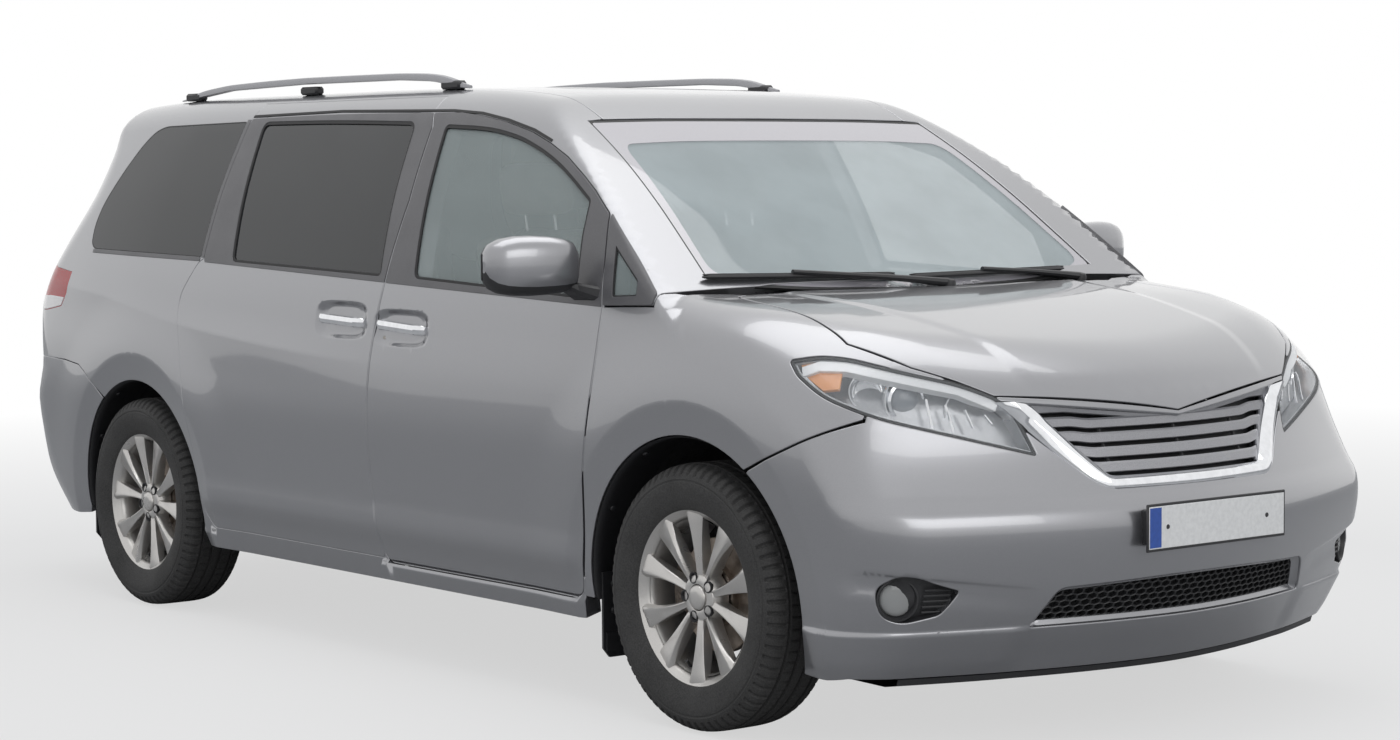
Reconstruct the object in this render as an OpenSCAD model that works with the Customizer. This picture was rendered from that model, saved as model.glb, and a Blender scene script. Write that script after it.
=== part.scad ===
/* [Body] */
// Overall length of the body, nose to rear bumper
body_length = 5085; // [5060:5:5110]
// Half width of the body at its widest level
half_width = 991; // [975:1:1000]
// Height of the roof skin above the ground
roof_height = 1754; // [1735:1:1775]
// Thickness of the outer skins such as hood, fenders and bumpers
skin = 26; // [20:1:32]
// Thickness of the doors and side walls
wall = 76; // [60:1:90]
// Gap between a moving panel and its neighbours
shut_gap = 7; // [6:1:9]
// Thickness of every window pane
glass_t = 5; // [4:1:7]

/* [Wheels] */
// Distance between the front and the rear axle
wheelbase = 3030; // [3010:5:3050]
// Distance of the front axle ahead of the body's middle
front_axle_x = 1571; // [1560:1:1580]
// Distance between the middle planes of the tyres of one axle
track = 1720; // [1700:5:1730]
// Outer radius of a tyre
tyre_r = 357; // [345:1:362]
// Width of a tyre
tyre_w = 235; // [215:5:245]
// Radius of the rim's outer flange
rim_r = 239; // [228:1:245]
// Radius of the front wheel arches
front_arch_r = 432; // [425:1:438]
// Radius of the rear wheel arches
rear_arch_r = 424; // [418:1:430]

/* [Cabin] */
// Height of the flat floor above the ground
floor_z = 330; // [310:5:350]
// Distance of a front seat's middle from the car's middle
seat_y = 400; // [380:5:420]
// Radius of the steering wheel's rim
steering_r = 186; // [175:1:195]

/* [Hidden] */

$fn = 96;
rear_axle_x = front_axle_x - wheelbase;
wheel_y = track / 2;
axle_z = tyre_r;
nose_x = body_length / 2;
far = 3000;          // beyond every surface of the car
paint = [0.72, 0.72, 0.76];
dark = [0.10, 0.10, 0.11];
pane = [0.25, 0.29, 0.30];

// ---- smooth curves through a few design values ----
// Adds to each [key, value] row its slope, from the rows on either side of it
function with_slopes(rows) = [for (i = [0:len(rows) - 1])
    let (a = rows[max(i - 1, 0)], b = rows[min(i + 1, len(rows) - 1)])
    [rows[i][0], rows[i][1], (b[1] - a[1]) / (b[0] - a[0])]];
// The curve between two of these rows, at the share s of the way
function between(a, b, s) = let (h = b[0] - a[0], q = s * s, c = q * s)
    (2 * c - 3 * q + 1) * a[1] + (c - 2 * q + s) * h * a[2]
    + (3 * q - 2 * c) * b[1] + (c - q) * h * b[2];
// A smooth curve through the rows, as a fine table for lookup()
function smooth(rows) = let (r = with_slopes(rows), n = 8)
    concat([for (i = [0:len(r) - 2]) for (k = [0:n - 1])
        [r[i][0] + (r[i + 1][0] - r[i][0]) * k / n, between(r[i], r[i + 1], k / n)]],
        [rows[len(rows) - 1]]);
// The larger of two values, rounded over where they differ by less than k
function smooth_max(a, b, k) = let (h = max(k - abs(a - b), 0) / k) max(a, b) + h * h * k / 4;

// Narrowing of the side below its full half width, against height
side_rows = smooth([[150, 70], [250, 43], [340, 23], [480, 11], [700, 0], [860, 5],
    [1000, 19], [1150, 41], [1300, 86], [1450, 145], [1640, 239], [1760, 311]]);
// Narrowing of the side towards the two ends, against length
plan_rows = smooth([[-2550, 112], [-2300, 52], [-2000, 22], [-1700, 7], [-1400, 0],
    [-400, 0], [1500, 0], [1800, 6], [2100, 22], [2350, 58], [2550, 105]]);
// Height of the hood's middle line
hood_rows = smooth([[1200, 1188], [1489, 1146], [1800, 1112], [2100, 1052], [2313, 990],
    [2420, 938], [2500, 872], [2560, 800]]);
// Drop of the roof's middle line below its crown
roof_rows = smooth([[-2200, 44], [-2000, 20], [-1735, 6], [-1500, 1], [-900, 0], [-300, 0], [100, 6],
    [400, 24], [600, 52], [760, 99], [900, 154]]);
// Setback of the front's middle line behind the nose, against height
front_rows = smooth([[150, 167], [247, 120], [350, 62], [450, 22], [550, 0], [620, 8],
    [671, 46], [760, 96], [845, 127], [900, 138], [1000, 200], [1100, 280]]);
// Setback of the rear's middle line ahead of the rear bumper, against height
rear_rows = smooth([[200, 102], [300, 42], [400, 4], [560, 0], [680, 4], [740, 46],
    [800, 86], [900, 96], [1021, 118], [1200, 190], [1430, 312], [1600, 416], [1720, 492]]);
// Place of the windshield's middle line, against height
shield_rows = smooth([[1000, 1672], [1146, 1469], [1270, 1300], [1400, 1118], [1520, 930],
    [1634, 722], [1760, 470]]);
// Width of the rounding between hood and fender, against length
shoulder_rows = smooth([[1400, 120], [1750, 150], [2050, 280], [2300, 290]]);
// Extra setback of the rear at its corners, against height
corner_rows = smooth([[200, 260], [290, 225], [463, 115], [759, 37], [880, 8], [1021, -30],
    [1120, -8], [1225, 40], [1427, 118], [1550, 85], [1650, 10], [1720, 0]]);
// Width of the rounding between side and rear, against height
rear_round = smooth([[1400, 165], [1560, 130], [1660, 55], [1760, 55]]);

// The body's outside: zero on the skin, about minus the depth inside it
function side_at(x, z) = half_width - lookup(z, side_rows) - lookup(x, plan_rows);
function body_gap(x, y, z) =
    let (ya = abs(y),
         side = ya - side_at(x, z),
         hood = z - lookup(x, hood_rows) - 6 * pow(min(ya / 650, 1), 2) + 10 * pow(ya / 900, 4),
         front = x - nose_x + lookup(z, front_rows) + 285 * pow(ya / 985, 1.75),
         rear = lookup(z, rear_rows) + 62 * pow(ya / 800, 2) + lookup(z, corner_rows) * pow(ya / 900, 4)
            - nose_x - x,
         roof = z - roof_height + lookup(x, roof_rows) + 16 * pow(ya / 700, 3),
         bow = (10 + (1630 - z) / 40) * pow(ya / 700, 2),
         shield = (x - lookup(z, shield_rows) + bow) * 0.55,
         low = smooth_max(smooth_max(side, hood, lookup(x, shoulder_rows)), front, 125),
         cab = smooth_max(smooth_max(side, roof, 90), shield, 25))
    smooth_max(smooth_max(min(low, cab), rear, lookup(z, rear_round)), 90 - z, 30);

// ---- the body's skin as one closed mesh at a chosen depth ----
spine_x = 1950;      // the rays start on a line this far each way along the car
spine_z = 760;
run = 36;            // steps of the rays along the line
side_steps = 14;     // steps over a quarter turn, and across each end's square of rays
ring = 4 * side_steps;
// Distance along a ray to the skin at the given depth, halving the stretch each time
function reach(o, d, depth, lo, hi, n) = n == 0 ? (lo + hi) / 2 :
    let (m = (lo + hi) / 2, p = o + d * m)
    body_gap(p[0], p[1], p[2]) + depth < 0 ? reach(o, d, depth, m, hi, n - 1)
        : reach(o, d, depth, lo, m, n - 1);
// Point of the skin on the ray tilted towards an end by a, and turned round the line
function ray_point(x, a, turn, depth) =
    let (o = [x, 0, spine_z], d = [sin(a), cos(a) * cos(turn), cos(a) * sin(turn)])
    o + d * reach(o, d, depth, 300, 1500, 14);
// Point of an end's square of rays, where u and v run from -1 to 1
function end_point(end, u, v, depth) =
    let (m = max(abs(u), abs(v)),
         turn = m == 0 ? 0 : abs(u) >= abs(v) ? 45 * v / u + (u < 0 ? 180 : 0)
            : 90 - 45 * u / v + (v < 0 ? 180 : 0))
    ray_point(end * spine_x, end * 90 * (1 - m), turn, depth);
function skin_points(depth) = concat(
    [for (i = [0:run]) for (j = [0:ring - 1])
        ray_point(spine_x * (2 * i / run - 1), 0, 360 * j / ring, depth)],
    [for (end = [-1, 1]) for (p = [1:side_steps - 1]) for (q = [1:side_steps - 1])
        end_point(end, 2 * p / side_steps - 1, 2 * q / side_steps - 1, depth)]);
// Number of a point of ring i, and of a point of an end's square
function ring_id(i, j) = i * ring + (j + ring) % ring;
function end_id(end, p, q) = let (n = side_steps, i = end > 0 ? run : 0)
    p == n ? ring_id(i, q - n / 2) : q == n ? ring_id(i, n - p + n / 2)
    : p == 0 ? ring_id(i, 2 * n - q + n / 2) : q == 0 ? ring_id(i, 3 * n + p - n / 2)
    : (run + 1) * ring + (end > 0 ? (n - 1) * (n - 1) : 0) + (p - 1) * (n - 1) + q - 1;
function split(a, b, c, d) = [[a, b, c], [a, c, d]];
skin_faces = concat(
    [for (i = [0:run - 1]) for (j = [0:ring - 1]) each split(ring_id(i, j), ring_id(i + 1, j),
        ring_id(i + 1, j + 1), ring_id(i, j + 1))],
    [for (p = [0:side_steps - 1]) for (q = [0:side_steps - 1]) each split(end_id(1, p, q),
        end_id(1, p, q + 1), end_id(1, p + 1, q + 1), end_id(1, p + 1, q))],
    [for (p = [0:side_steps - 1]) for (q = [0:side_steps - 1]) each split(end_id(-1, p, q),
        end_id(-1, p + 1, q), end_id(-1, p + 1, q + 1), end_id(-1, p, q + 1))]);
outer_points = skin_points(0);
inner_points = skin_points(wall);
// The space inside the skin, drawn in by a depth
module body_solid(depth)
    polyhedron(outer_points + (inner_points - outer_points) * depth / wall, skin_faces,
        convexity = 6);
// The part of the skin between two depths that lies in the children's zone
module layer(from, to) difference() {
    intersection() {
        body_solid(from);
        children();
    }
    body_solid(to);
}
// The same as one mesh, cut in a single step
module panel(from, to) resize([0, 0, 0]) layer(from, to) children();
// Prisms that cut the skin: seen from the side, from the front, and from above
module side_prism(outline, s, grow = 0)
    mirror([0, s > 0 ? 1 : 0, 0]) rotate([90, 0, 0]) linear_extrude(1200)
        offset(delta = grow) polygon(outline);
module end_prism(outline, x0, x1, grow = 0)
    translate([x0, 0, 0]) rotate([90, 0, 90]) linear_extrude(x1 - x0)
        offset(delta = grow) polygon(outline);
module plan_prism(outline, grow = 0)
    linear_extrude(far) offset(delta = grow) polygon(outline);
// An outline given for one side, closed with its mirror image
function both_sides(half) = concat(half, [for (i = [len(half) - 1:-1:0]) [-half[i][0], half[i][1]]]);
function both_sides_y(half) = concat(half, [for (i = [len(half) - 1:-1:0]) [half[i][0], -half[i][1]]]);

// ---- outlines of the panels and windows ----
door_front_edge = [[1092, 311], [1112, 414], [1165, 860], [1187, 1117], [1160, 1241], [1125, 1364]];
door_rear_edge = [[50, 1662], [79, 1619], [108, 1400], [88, 1157], [50, 960], [36, 796], [45, 560],
    [75, 325], [90, 311]];
front_door_outline = concat(door_front_edge, [[1024, 1430], [954, 1468], [837, 1524], [727, 1564],
    [620, 1596], [465, 1628], [311, 1651], [200, 1662]], door_rear_edge);
front_window = [[242, 1167], [1066, 1134], [1058, 1206], [1035, 1307], [1024, 1403], [932, 1451],
    [838, 1497], [727, 1540], [577, 1584], [436, 1608], [340, 1617], [145, 1626]];
sliding_door_outline = [[40, 1716], [43, 1662], [72, 1619], [101, 1400], [81, 1157], [43, 960], [29, 796], [38, 560],
    [68, 325], [58, 315], [-973, 315], [-1022, 367], [-1073, 632], [-1130, 900], [-1176, 1062],
    [-1071, 1191], [-1040, 1204], [-1052, 1655], [-1040, 1716]];
sliding_window = [[66, 1169], [-851, 1195], [-958, 1652], [-500, 1650], [-23, 1637]];
quarter_window = [[-1062, 1208], [-1860, 1222], [-1896, 1240], [-1910, 1300], [-1895, 1371],
    [-1826, 1490], [-1757, 1585], [-1706, 1630], [-1640, 1648], [-1076, 1655]];
corner_window = [[1229, 1140], [1338, 1145], [1333, 1189], [1197, 1281]];
side_outline = [[1080, 250], [-1459, 250], [-1459, 560], [-1700, 690], [-2700, 690], [-2700, 1900],
    [400, 1900], [1440, 1280],
    [1440, 1190], [1414, 1158], [1410, 1127], [1190, 1120], [1165, 860], [1112, 414]];
fender_outline = [[1098, 311], [1118, 414], [1171, 860], [1194, 1115], [1415, 1122],
    [1420, 1156], [1446, 1187], [1446, 1300], [2600, 1300], [2600, 1008], [2158, 861], [1790, 708],
    [1571, 560], [1300, 311]];
bumper_front_outline = [[1797, 702], [2164, 855], [2230, 870], [2700, 960], [2700, 205],
    [1900, 205], [1700, 500]];
bumper_rear_outline = [[-1690, 690], [-1760, 748], [-1832, 789], [-1885, 811], [-2013, 822],
    [-2700, 822], [-2700, 282], [-1890, 282], [-1700, 500]];
hood_plan = both_sides_y([[1500, 715], [1520, 752], [1823, 780], [2024, 808], [2120, 830],
    [2650, 830]]);
hood_front = both_sides([[0, 852], [554, 911], [635, 951], [720, 985], [806, 1014], [860, 1036],
    [860, 1400]]);
lamp_outline = [[735, 990], [742, 970], [800, 917], [930, 866], [1130, 815], [1336, 761],
    [1290, 850], [1244, 902], [1142, 943], [993, 977], [865, 1006], [790, 1008]];
grille_outline = both_sides([[0, 668], [300, 668], [345, 690], [562, 885], [548, 900], [0, 843]]);
lower_grille_outline = both_sides([[0, 326], [521, 326], [466, 430], [0, 448]]);
shield_outline = both_sides([[0, 1634], [400, 1633], [651, 1627], [745, 1194], [700, 1180],
    [400, 1158], [0, 1150]]);
roof_plan = both_sides_y([[900, 560], [690, 592], [400, 606], [-1950, 596]]);
sunroof_plan = both_sides_y([[330, 400], [-250, 400]]);
gate_outline = both_sides([[0, 802], [690, 802], [716, 1000], [728, 1190], [700, 1400],
    [655, 1600], [620, 1800]]);
gate_window = both_sides([[0, 1235], [600, 1238], [640, 1262], [600, 1560], [560, 1590],
    [0, 1600]]);
tail_outline = [[-2012, 1138], [-2035, 1060], [-2081, 1011], [-2200, 995], [-2700, 985],
    [-2700, 1210], [-2330, 1200], [-2200, 1160]];
tow_y = 400;         // towing eye's hole, from the middle of the car
tow_z = 345;         // and above the ground
tow_way = 30;        // way left free in the mesh before it
gate_front_x = -2004;

// ---- zones shared by neighbouring panels ----
module hood_zone(grow) intersection() {
    plan_prism(hood_plan, grow);
    end_prism(hood_front, 1300, far, grow);
}
module lamp_zone(grow) for (s = [-1, 1])
    mirror([0, s > 0 ? 1 : 0, 0]) rotate([0, 0, 45]) rotate([90, 0, 0]) linear_extrude(far)
        offset(delta = grow) polygon(lamp_outline);
module grille_zone(grow) end_prism(grille_outline, 2000, far, grow);
module shield_zone(grow) end_prism(shield_outline, 500, far, grow);
module roof_zone(grow) plan_prism(roof_plan, grow);
module gate_zone(grow) intersection() {
    end_prism(gate_outline, -far, -1500, grow);
    translate([gate_front_x + grow - far, -far / 2, 0]) cube(far);
}
module tail_zone(grow) for (s = [-1, 1]) intersection() {
    side_prism(tail_outline, s, grow);
    translate([-far, s > 0 ? 715 : -715 - far, 0]) cube(far);
}
module arch(x, r, s) translate([x, s > 0 ? 480 : -1200, axle_z]) rotate([-90, 0, 0])
    cylinder(r = r, h = 720);

// ---- fixed body ----
module side_frame(s) color(paint) panel(0, wall) difference() {
    side_prism(side_outline, s);
    side_prism(front_door_outline, s, shut_gap);
    side_prism(sliding_door_outline, s, 5);
    side_prism(quarter_window, s);
    side_prism(corner_window, s);
    side_prism(bumper_rear_outline, s, 4);
    arch(rear_axle_x, rear_arch_r, s);
    shield_zone(0);
    roof_zone(4);
    gate_zone(shut_gap);
    tail_zone(2);
    translate([1093, -697, 0]) cube([far, 1394, 1200]);
    translate([1100, -far / 2, 0]) cube([far, far, 1120]);
}
module side_frame_left() side_frame(1);
module side_frame_right() side_frame(-1);
module roof_panel() color(paint) panel(0, skin) difference() {
    roof_zone(0);
    plan_prism(sunroof_plan);
    translate([-far, -far / 2, 0]) cube([2 * far, far, 1400]);
    shield_zone(0);
    gate_zone(shut_gap);
}
module sunroof_glass() color(dark) panel(3, 3 + 3 * glass_t) intersection() {
    plan_prism(sunroof_plan);
    translate([-far / 2, -far / 2, 1500]) cube(far);
}
module front_fenders() color(paint) for (s = [-1, 1]) panel(0, skin) difference() {
    side_prism(fender_outline, s);
    arch(front_axle_x, front_arch_r, s);
    hood_zone(shut_gap);
    lamp_zone(3);
    translate([1300, -715, 0]) cube([300, 1430, far]);
}
module front_bumper() color(paint) panel(0, skin) difference() {
    union() for (s = [-1, 1]) side_prism(bumper_front_outline, s);
    for (s = [-1, 1]) arch(front_axle_x, front_arch_r, s);
    hood_zone(shut_gap);
    lamp_zone(3);
    grille_zone(2);
    end_prism(lower_grille_outline, 2000, far);
    for (s = [-1, 1]) translate([2000, s * 857, 418]) rotate([0, 90, 0]) cylinder(r = 62, h = 800);
}
module grille() color("silver") resize([0, 0, 0]) {
    union() {
        layer(4, 38) difference() {
            grille_zone(0);
            grille_zone(-34);
        }
        for (i = [0:4]) layer(14, 38) intersection() {
            grille_zone(-20);
            translate([2000, -600, 700 + 36 * i]) cube([800, 1200, 18]);
        }
        layer(30, 40) grille_zone(-10);
    }
    layer(12, 24) difference() {
        end_prism(lower_grille_outline, 2000, far);
        for (s = [-1, 1]) translate([1900, s * tow_y, 0]) {
            translate([0, -tow_way / 2, 0]) cube([900, tow_way, tow_z + tow_way / 2]);
            for (e = [-1, 1]) translate([0, e * tow_way / 2 - 0.5, 0]) cube([900, 1, 600]);
        }
    }
}
module front_lamps() color("white") {
    panel(2, 60) difference() {
        lamp_zone(0);
        grille_zone(2);
        hood_zone(shut_gap);
        translate([-far, -far / 2, 0]) cube([far + 1700, far, far]);
    }
    for (s = [-1, 1]) translate([2185, s * 857, 418]) rotate([0, 90, 0]) cylinder(r = 58, h = 55);
}
module windshield() color(pane) panel(4, 4 + glass_t) intersection() {
    shield_zone(0);
    translate([1476 - far, -far / 2, 0]) cube(far);
}
module cowl() color(dark) {
    rotate([90, 0, 0]) translate([0, 0, -690]) linear_extrude(1380)
        polygon([[1392, 1095], [1488, 1085], [1488, 1112], [1476, 1126], [1410, 1150], [1398, 1140]]);
}
module sliding_door(s) color(paint) panel(0, wall) difference() {
    side_prism(sliding_door_outline, s);
    side_prism(sliding_window, s);
    arch(rear_axle_x, rear_arch_r + 2, s);
    roof_zone(4);
}
module sliding_door_left() sliding_door(1);
module sliding_door_right() sliding_door(-1);
module side_glass() color(pane) for (s = [-1, 1]) panel(6, 6 + glass_t) {
    union() {
        side_prism(sliding_window, s);
        side_prism(quarter_window, s);
        side_prism(corner_window, s);
    }
}
module rear_bumper() color(paint) panel(0, skin) difference() {
    union() for (s = [-1, 1]) side_prism(bumper_rear_outline, s);
    for (s = [-1, 1]) arch(rear_axle_x, rear_arch_r, s);
    gate_zone(shut_gap);
}
module tail_lights() color("red") panel(0, wall) difference() {
    tail_zone(0);
    gate_zone(shut_gap);
}
// Height of the roof's skin beside the rails
function rail_seat(x) = roof_height - lookup(x, roof_rows) - 16 * pow(604 / 700, 3) + 1;
module roof_rails() color(dark) for (s = [-1, 1]) {
    rotate([90, 0, 0]) translate([0, 0, -s * 620 - 16]) linear_extrude(32)
        polygon([[75, rail_seat(0) + 4], [0, 1770], [-60, 1784], [-160, 1793], [-320, 1798], [-900, 1800],
            [-1400, 1790], [-1600, 1772], [-1690, 1748], [-1735, rail_seat(-1735) + 2],
            [-1650, rail_seat(-1650) + 4], [-1500, 1758], [-1380, 1766], [-900, 1776], [-320, 1774],
            [-140, 1766], [-60, 1756], [0, rail_seat(0) + 4]]);
    for (x = [-20, -860, -1640]) translate([x - 45, s * 620 - 16, rail_seat(x)]) cube([90, 32, 22]);
}
module mud_flaps() color(dark) for (s = [-1, 1]) {
    translate([1147, s > 0 ? 806 : -936, 141]) cube([9, 130, 240]);
    translate([-1938, s > 0 ? 780 : -896, 174]) cube([9, 116, 240]);
}

// ---- floor, running gear and cabin ----
// Half a drum round a wheel, closed on its inner side but for a notch over the axle
module liner(x, r, width, s) translate([x, 0, axle_z]) mirror([0, s > 0 ? 0 : 1, 0])
    translate([0, 560, 0]) rotate([-90, 0, 0]) difference() {
        cylinder(r = r + 14, h = width);
        translate([0, 0, 8]) cylinder(r = r + 6, h = width);
        translate([-far / 2, 40, -1]) cube([far, far, 400]);
        translate([-50, -12, -1]) cube([100, 60, 12]);
    }
kick_x0 = -1780;     // the floor rises over the rear axle between these two places
kick_x1 = -1120;
kick_z = 440;
module floor_pan() color(dark) {
    difference() {
        union() {
            translate([kick_x1 - 30, -865, floor_z - 30]) cube([1300 + 30 - kick_x1, 1730, 30]);
            translate([kick_x1 - 30, -565, floor_z - 30]) cube([30, 1130, kick_z + 60 - floor_z]);
            translate([kick_x0, -565, kick_z]) cube([kick_x1 - kick_x0, 1130, 30]);
            translate([kick_x0, -565, floor_z - 30]) cube([30, 1130, kick_z + 60 - floor_z]);
            translate([-2300, -700, floor_z - 30]) cube([kick_x0 + 30 + 2300, 1400, 30]);
            translate([1270, -840, floor_z]) cube([30, 1680, 740]);
        }
        for (s = [-1, 1]) arch(rear_axle_x, rear_arch_r + 6, s);
        for (s = [-1, 1]) arch(front_axle_x, front_arch_r + 6, s);
    }
    for (s = [-1, 1]) liner(rear_axle_x, rear_arch_r, 315, s);
    for (s = [-1, 1]) liner(front_axle_x, front_arch_r, 335, s);
}
module seat(x, y, w, foot_z) translate([x, y, 0]) {
    color("tan") rotate([90, 0, 0]) translate([0, 0, -w / 2]) linear_extrude(w)
        polygon([[-260, 560], [-270, 640], [-230, 700], [200, 715], [262, 690], [270, 620],
            [250, 570], [0, 550]]);
    color("tan") rotate([90, 0, 0]) translate([0, 0, -w / 2 + 10]) linear_extrude(w - 20)
        polygon([[-232, 708], [-300, 700], [-345, 720], [-478, 1270], [-470, 1310], [-420, 1322],
            [-372, 1300], [-240, 760]]);
    color("tan") rotate([90, 0, 0]) translate([0, 0, -130]) linear_extrude(260)
        polygon([[-478, 1345], [-500, 1490], [-480, 1520], [-430, 1515], [-395, 1480], [-395, 1350]]);
    color(dark) translate([-240, -w / 2 + 40, foot_z]) cube([460, w - 80, 550 - foot_z]);
    for (p = [-60, 60]) color("silver") translate([-440, p, 1310]) cylinder(r = 7, h = 50);
}
module captain_seats() {
    for (s = [-1, 1]) seat(560, s * seat_y, 520, floor_z);
    for (s = [-1, 1]) seat(-400, s * seat_y, 500, floor_z);
}
module rear_bench() seat(-1330, 0, 1060, kick_z + 31);
module dashboard() color(dark) {
    rotate([90, 0, 0]) translate([0, 0, -760]) linear_extrude(1520)
        polygon([[1262, 700], [1262, 1075], [1180, 1096], [1080, 1092], [960, 1040], [900, 960],
            [920, 820], [1040, 690]]);
    translate([850, -130, 560]) cube([230, 260, 300]);
}
module steering_wheel() color(dark) translate([830, seat_y, 960]) rotate([0, -65, 0]) {
    rotate_extrude() translate([steering_r - 15, 0]) circle(r = 15);
    translate([0, 0, -40]) cylinder(r = 75, h = 45);
    for (a = [0, 120, 240]) rotate([0, 0, a + 60]) translate([55, -18, -14]) cube([125, 36, 14]);
}
module engine_block() color("gray") translate([1345, -340, 480]) cube([620, 680, 480]);
pin_r = 15;          // king pin, and the hole of the arm that holds it
pin_play = 0.05;
king_y = 740;
module front_subframe() color(dark) {
    for (s = [-1, 1]) difference() {
        translate([1320, s * tow_y - 40, 300]) cube([560, 80, 70]);
        translate([1820, s * tow_y, tow_z]) rotate([0, 90, 0]) cylinder(r = 8, h = 80);
    }
    for (x = [1340, 1740]) translate([x, -440, 290]) cube([80, 880, 60]);
    for (s = [-1, 1]) difference() {
        translate([front_axle_x - 45, s > 0 ? 430 : -790, 220]) cube([90, 360, 84]);
        translate([front_axle_x - 50, s > 0 ? 480 : -800, 254]) cube([100, 320, 60]);
        translate([front_axle_x, s * king_y, 200]) cylinder(r = pin_r + pin_play, h = 80);
    }
}
module rear_axle() color(dark) {
    translate([rear_axle_x - 35, -640, 275]) cube([70, 1280, 80]);
    for (s = [-1, 1]) translate([rear_axle_x, s > 0 ? 600 : -900, axle_z]) rotate([-90, 0, 0])
        cylinder(r = 30, h = 300);
    for (s = [-1, 1]) translate([rear_axle_x - 20, s * 600 - 25, 235]) cube([520, 50, 55]);
}
module exhaust() color("silver") {
    translate([-1750, 380, 240]) rotate([0, 90, 0]) cylinder(r = 26, h = 2900);
    translate([-2250, 330, 200]) cube([510, 220, 90]);
    translate([-2420, 480, 240]) rotate([0, 90, 0]) cylinder(r = 26, h = 190);
}
module knuckle(s) color("gray") {
    translate([front_axle_x - 30, s > 0 ? 665 : -790, 262]) cube([60, 125, 240]);
    translate([front_axle_x, s * king_y, 205]) cylinder(r = pin_r, h = 60);
    translate([front_axle_x, s > 0 ? 700 : -900, axle_z]) rotate([-90, 0, 0])
        cylinder(r = 30, h = 200);
    translate([front_axle_x, s * 692, 480]) cylinder(r = 24, h = 290);
}
module knuckle_left() knuckle(1);
module knuckle_right() knuckle(-1);
module tyre(x, s) color(dark) translate([x, s * wheel_y, axle_z]) rotate([-90, 0, 0])
    rotate_extrude() polygon([[rim_r - 8, -92], [rim_r + 20, -108], [rim_r + 60, -tyre_w / 2],
        [tyre_r - 30, -112], [tyre_r - 5, -96], [tyre_r, -70], [tyre_r, 70], [tyre_r - 5, 96],
        [tyre_r - 30, 112], [rim_r + 60, tyre_w / 2], [rim_r + 20, 108], [rim_r - 8, 92]]);
module rim(x, s) color("silver") translate([x, s * wheel_y, axle_z])
    mirror([0, s > 0 ? 0 : 1, 0]) rotate([-90, 0, 0]) {
        rotate_extrude() polygon([[rim_r - 9, -92], [rim_r - 9, 92], [rim_r, 98], [rim_r - 16, 98],
            [rim_r - 28, 60], [rim_r - 34, -60], [rim_r - 20, -92]]);
        difference() {
            translate([0, 0, 50]) cylinder(r = 78, h = 32);
            cylinder(r = 31, h = 70);
        }
        for (a = [0:9]) rotate([0, 0, 36 * a]) translate([70, -14, 58]) cube([150, 28, 24]);
    }

// ---- moving panels ----
module hood() color(paint) panel(0, skin) hood_zone(0);
module tailgate() color(paint) panel(0, wall) difference() {
    gate_zone(0);
    end_prism(gate_window, -far, -1500);
}
module tailgate_glass() color(pane) panel(5, 5 + glass_t) intersection() {
    end_prism(gate_window, -far, -1500);
    gate_zone(0);
}
module front_door(s) color(paint) panel(0, wall) difference() {
    side_prism(front_door_outline, s);
    side_prism(front_window, s);
    roof_zone(10);
}
module front_door_left() front_door(1);
module front_door_right() front_door(-1);
module door_glass(s) color(pane) panel(6, 6 + glass_t) side_prism(front_window, s);
module door_glass_left() door_glass(1);
module door_glass_right() door_glass(-1);
module mirror_unit(s) mirror([0, s > 0 ? 0 : 1, 0]) {
    color(paint) hull() {
        translate([1078, 1030, 1235]) scale([0.7, 1, 1.05]) sphere(r = 66, $fn = 32);
        translate([1052, 1120, 1236]) scale([0.75, 1, 1.05]) sphere(r = 78, $fn = 32);
        translate([1040, 1180, 1232]) scale([0.7, 1, 1.05]) sphere(r = 62, $fn = 32);
    }
    color(dark) translate([1045, 962, 1150]) cube([85, 80, 36]);
}
module mirror_left() mirror_unit(1);
module mirror_right() mirror_unit(-1);

floor_pan();
side_frame_left();
side_frame_right();
roof_panel();
front_fenders();
front_bumper();
grille();
front_lamps();
windshield();
cowl();
sliding_door_left();
sliding_door_right();
side_glass();
rear_bumper();
tail_lights();
roof_rails();
sunroof_glass();
mud_flaps();
dashboard();
captain_seats();
rear_bench();
engine_block();
front_subframe();
rear_axle();
exhaust();
hood();
tailgate();
tailgate_glass();
front_door_left();
front_door_right();
door_glass_left();
door_glass_right();
mirror_left();
mirror_right();
knuckle_left();
knuckle_right();
steering_wheel();
tyre(front_axle_x, 1);  // tyre_front_left
tyre(front_axle_x, -1);  // tyre_front_right
tyre(rear_axle_x, 1);  // tyre_rear_left
tyre(rear_axle_x, -1);  // tyre_rear_right
rim(front_axle_x, 1);  // rim_front_left
rim(front_axle_x, -1);  // rim_front_right
rim(rear_axle_x, 1);  // rim_rear_left
rim(rear_axle_x, -1);  // rim_rear_right
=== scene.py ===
"""Silver minivan: the visual model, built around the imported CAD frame.

Lengths in the shape functions are millimetres in the car's frame (+X forward, +Y to the driver's left,
+Z up); build_mesh() turns them into metres.
"""
import math

import bmesh
import bpy
import numpy as np
from mathutils import Matrix, Vector
from mathutils.geometry import delaunay_2d_cdt


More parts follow.
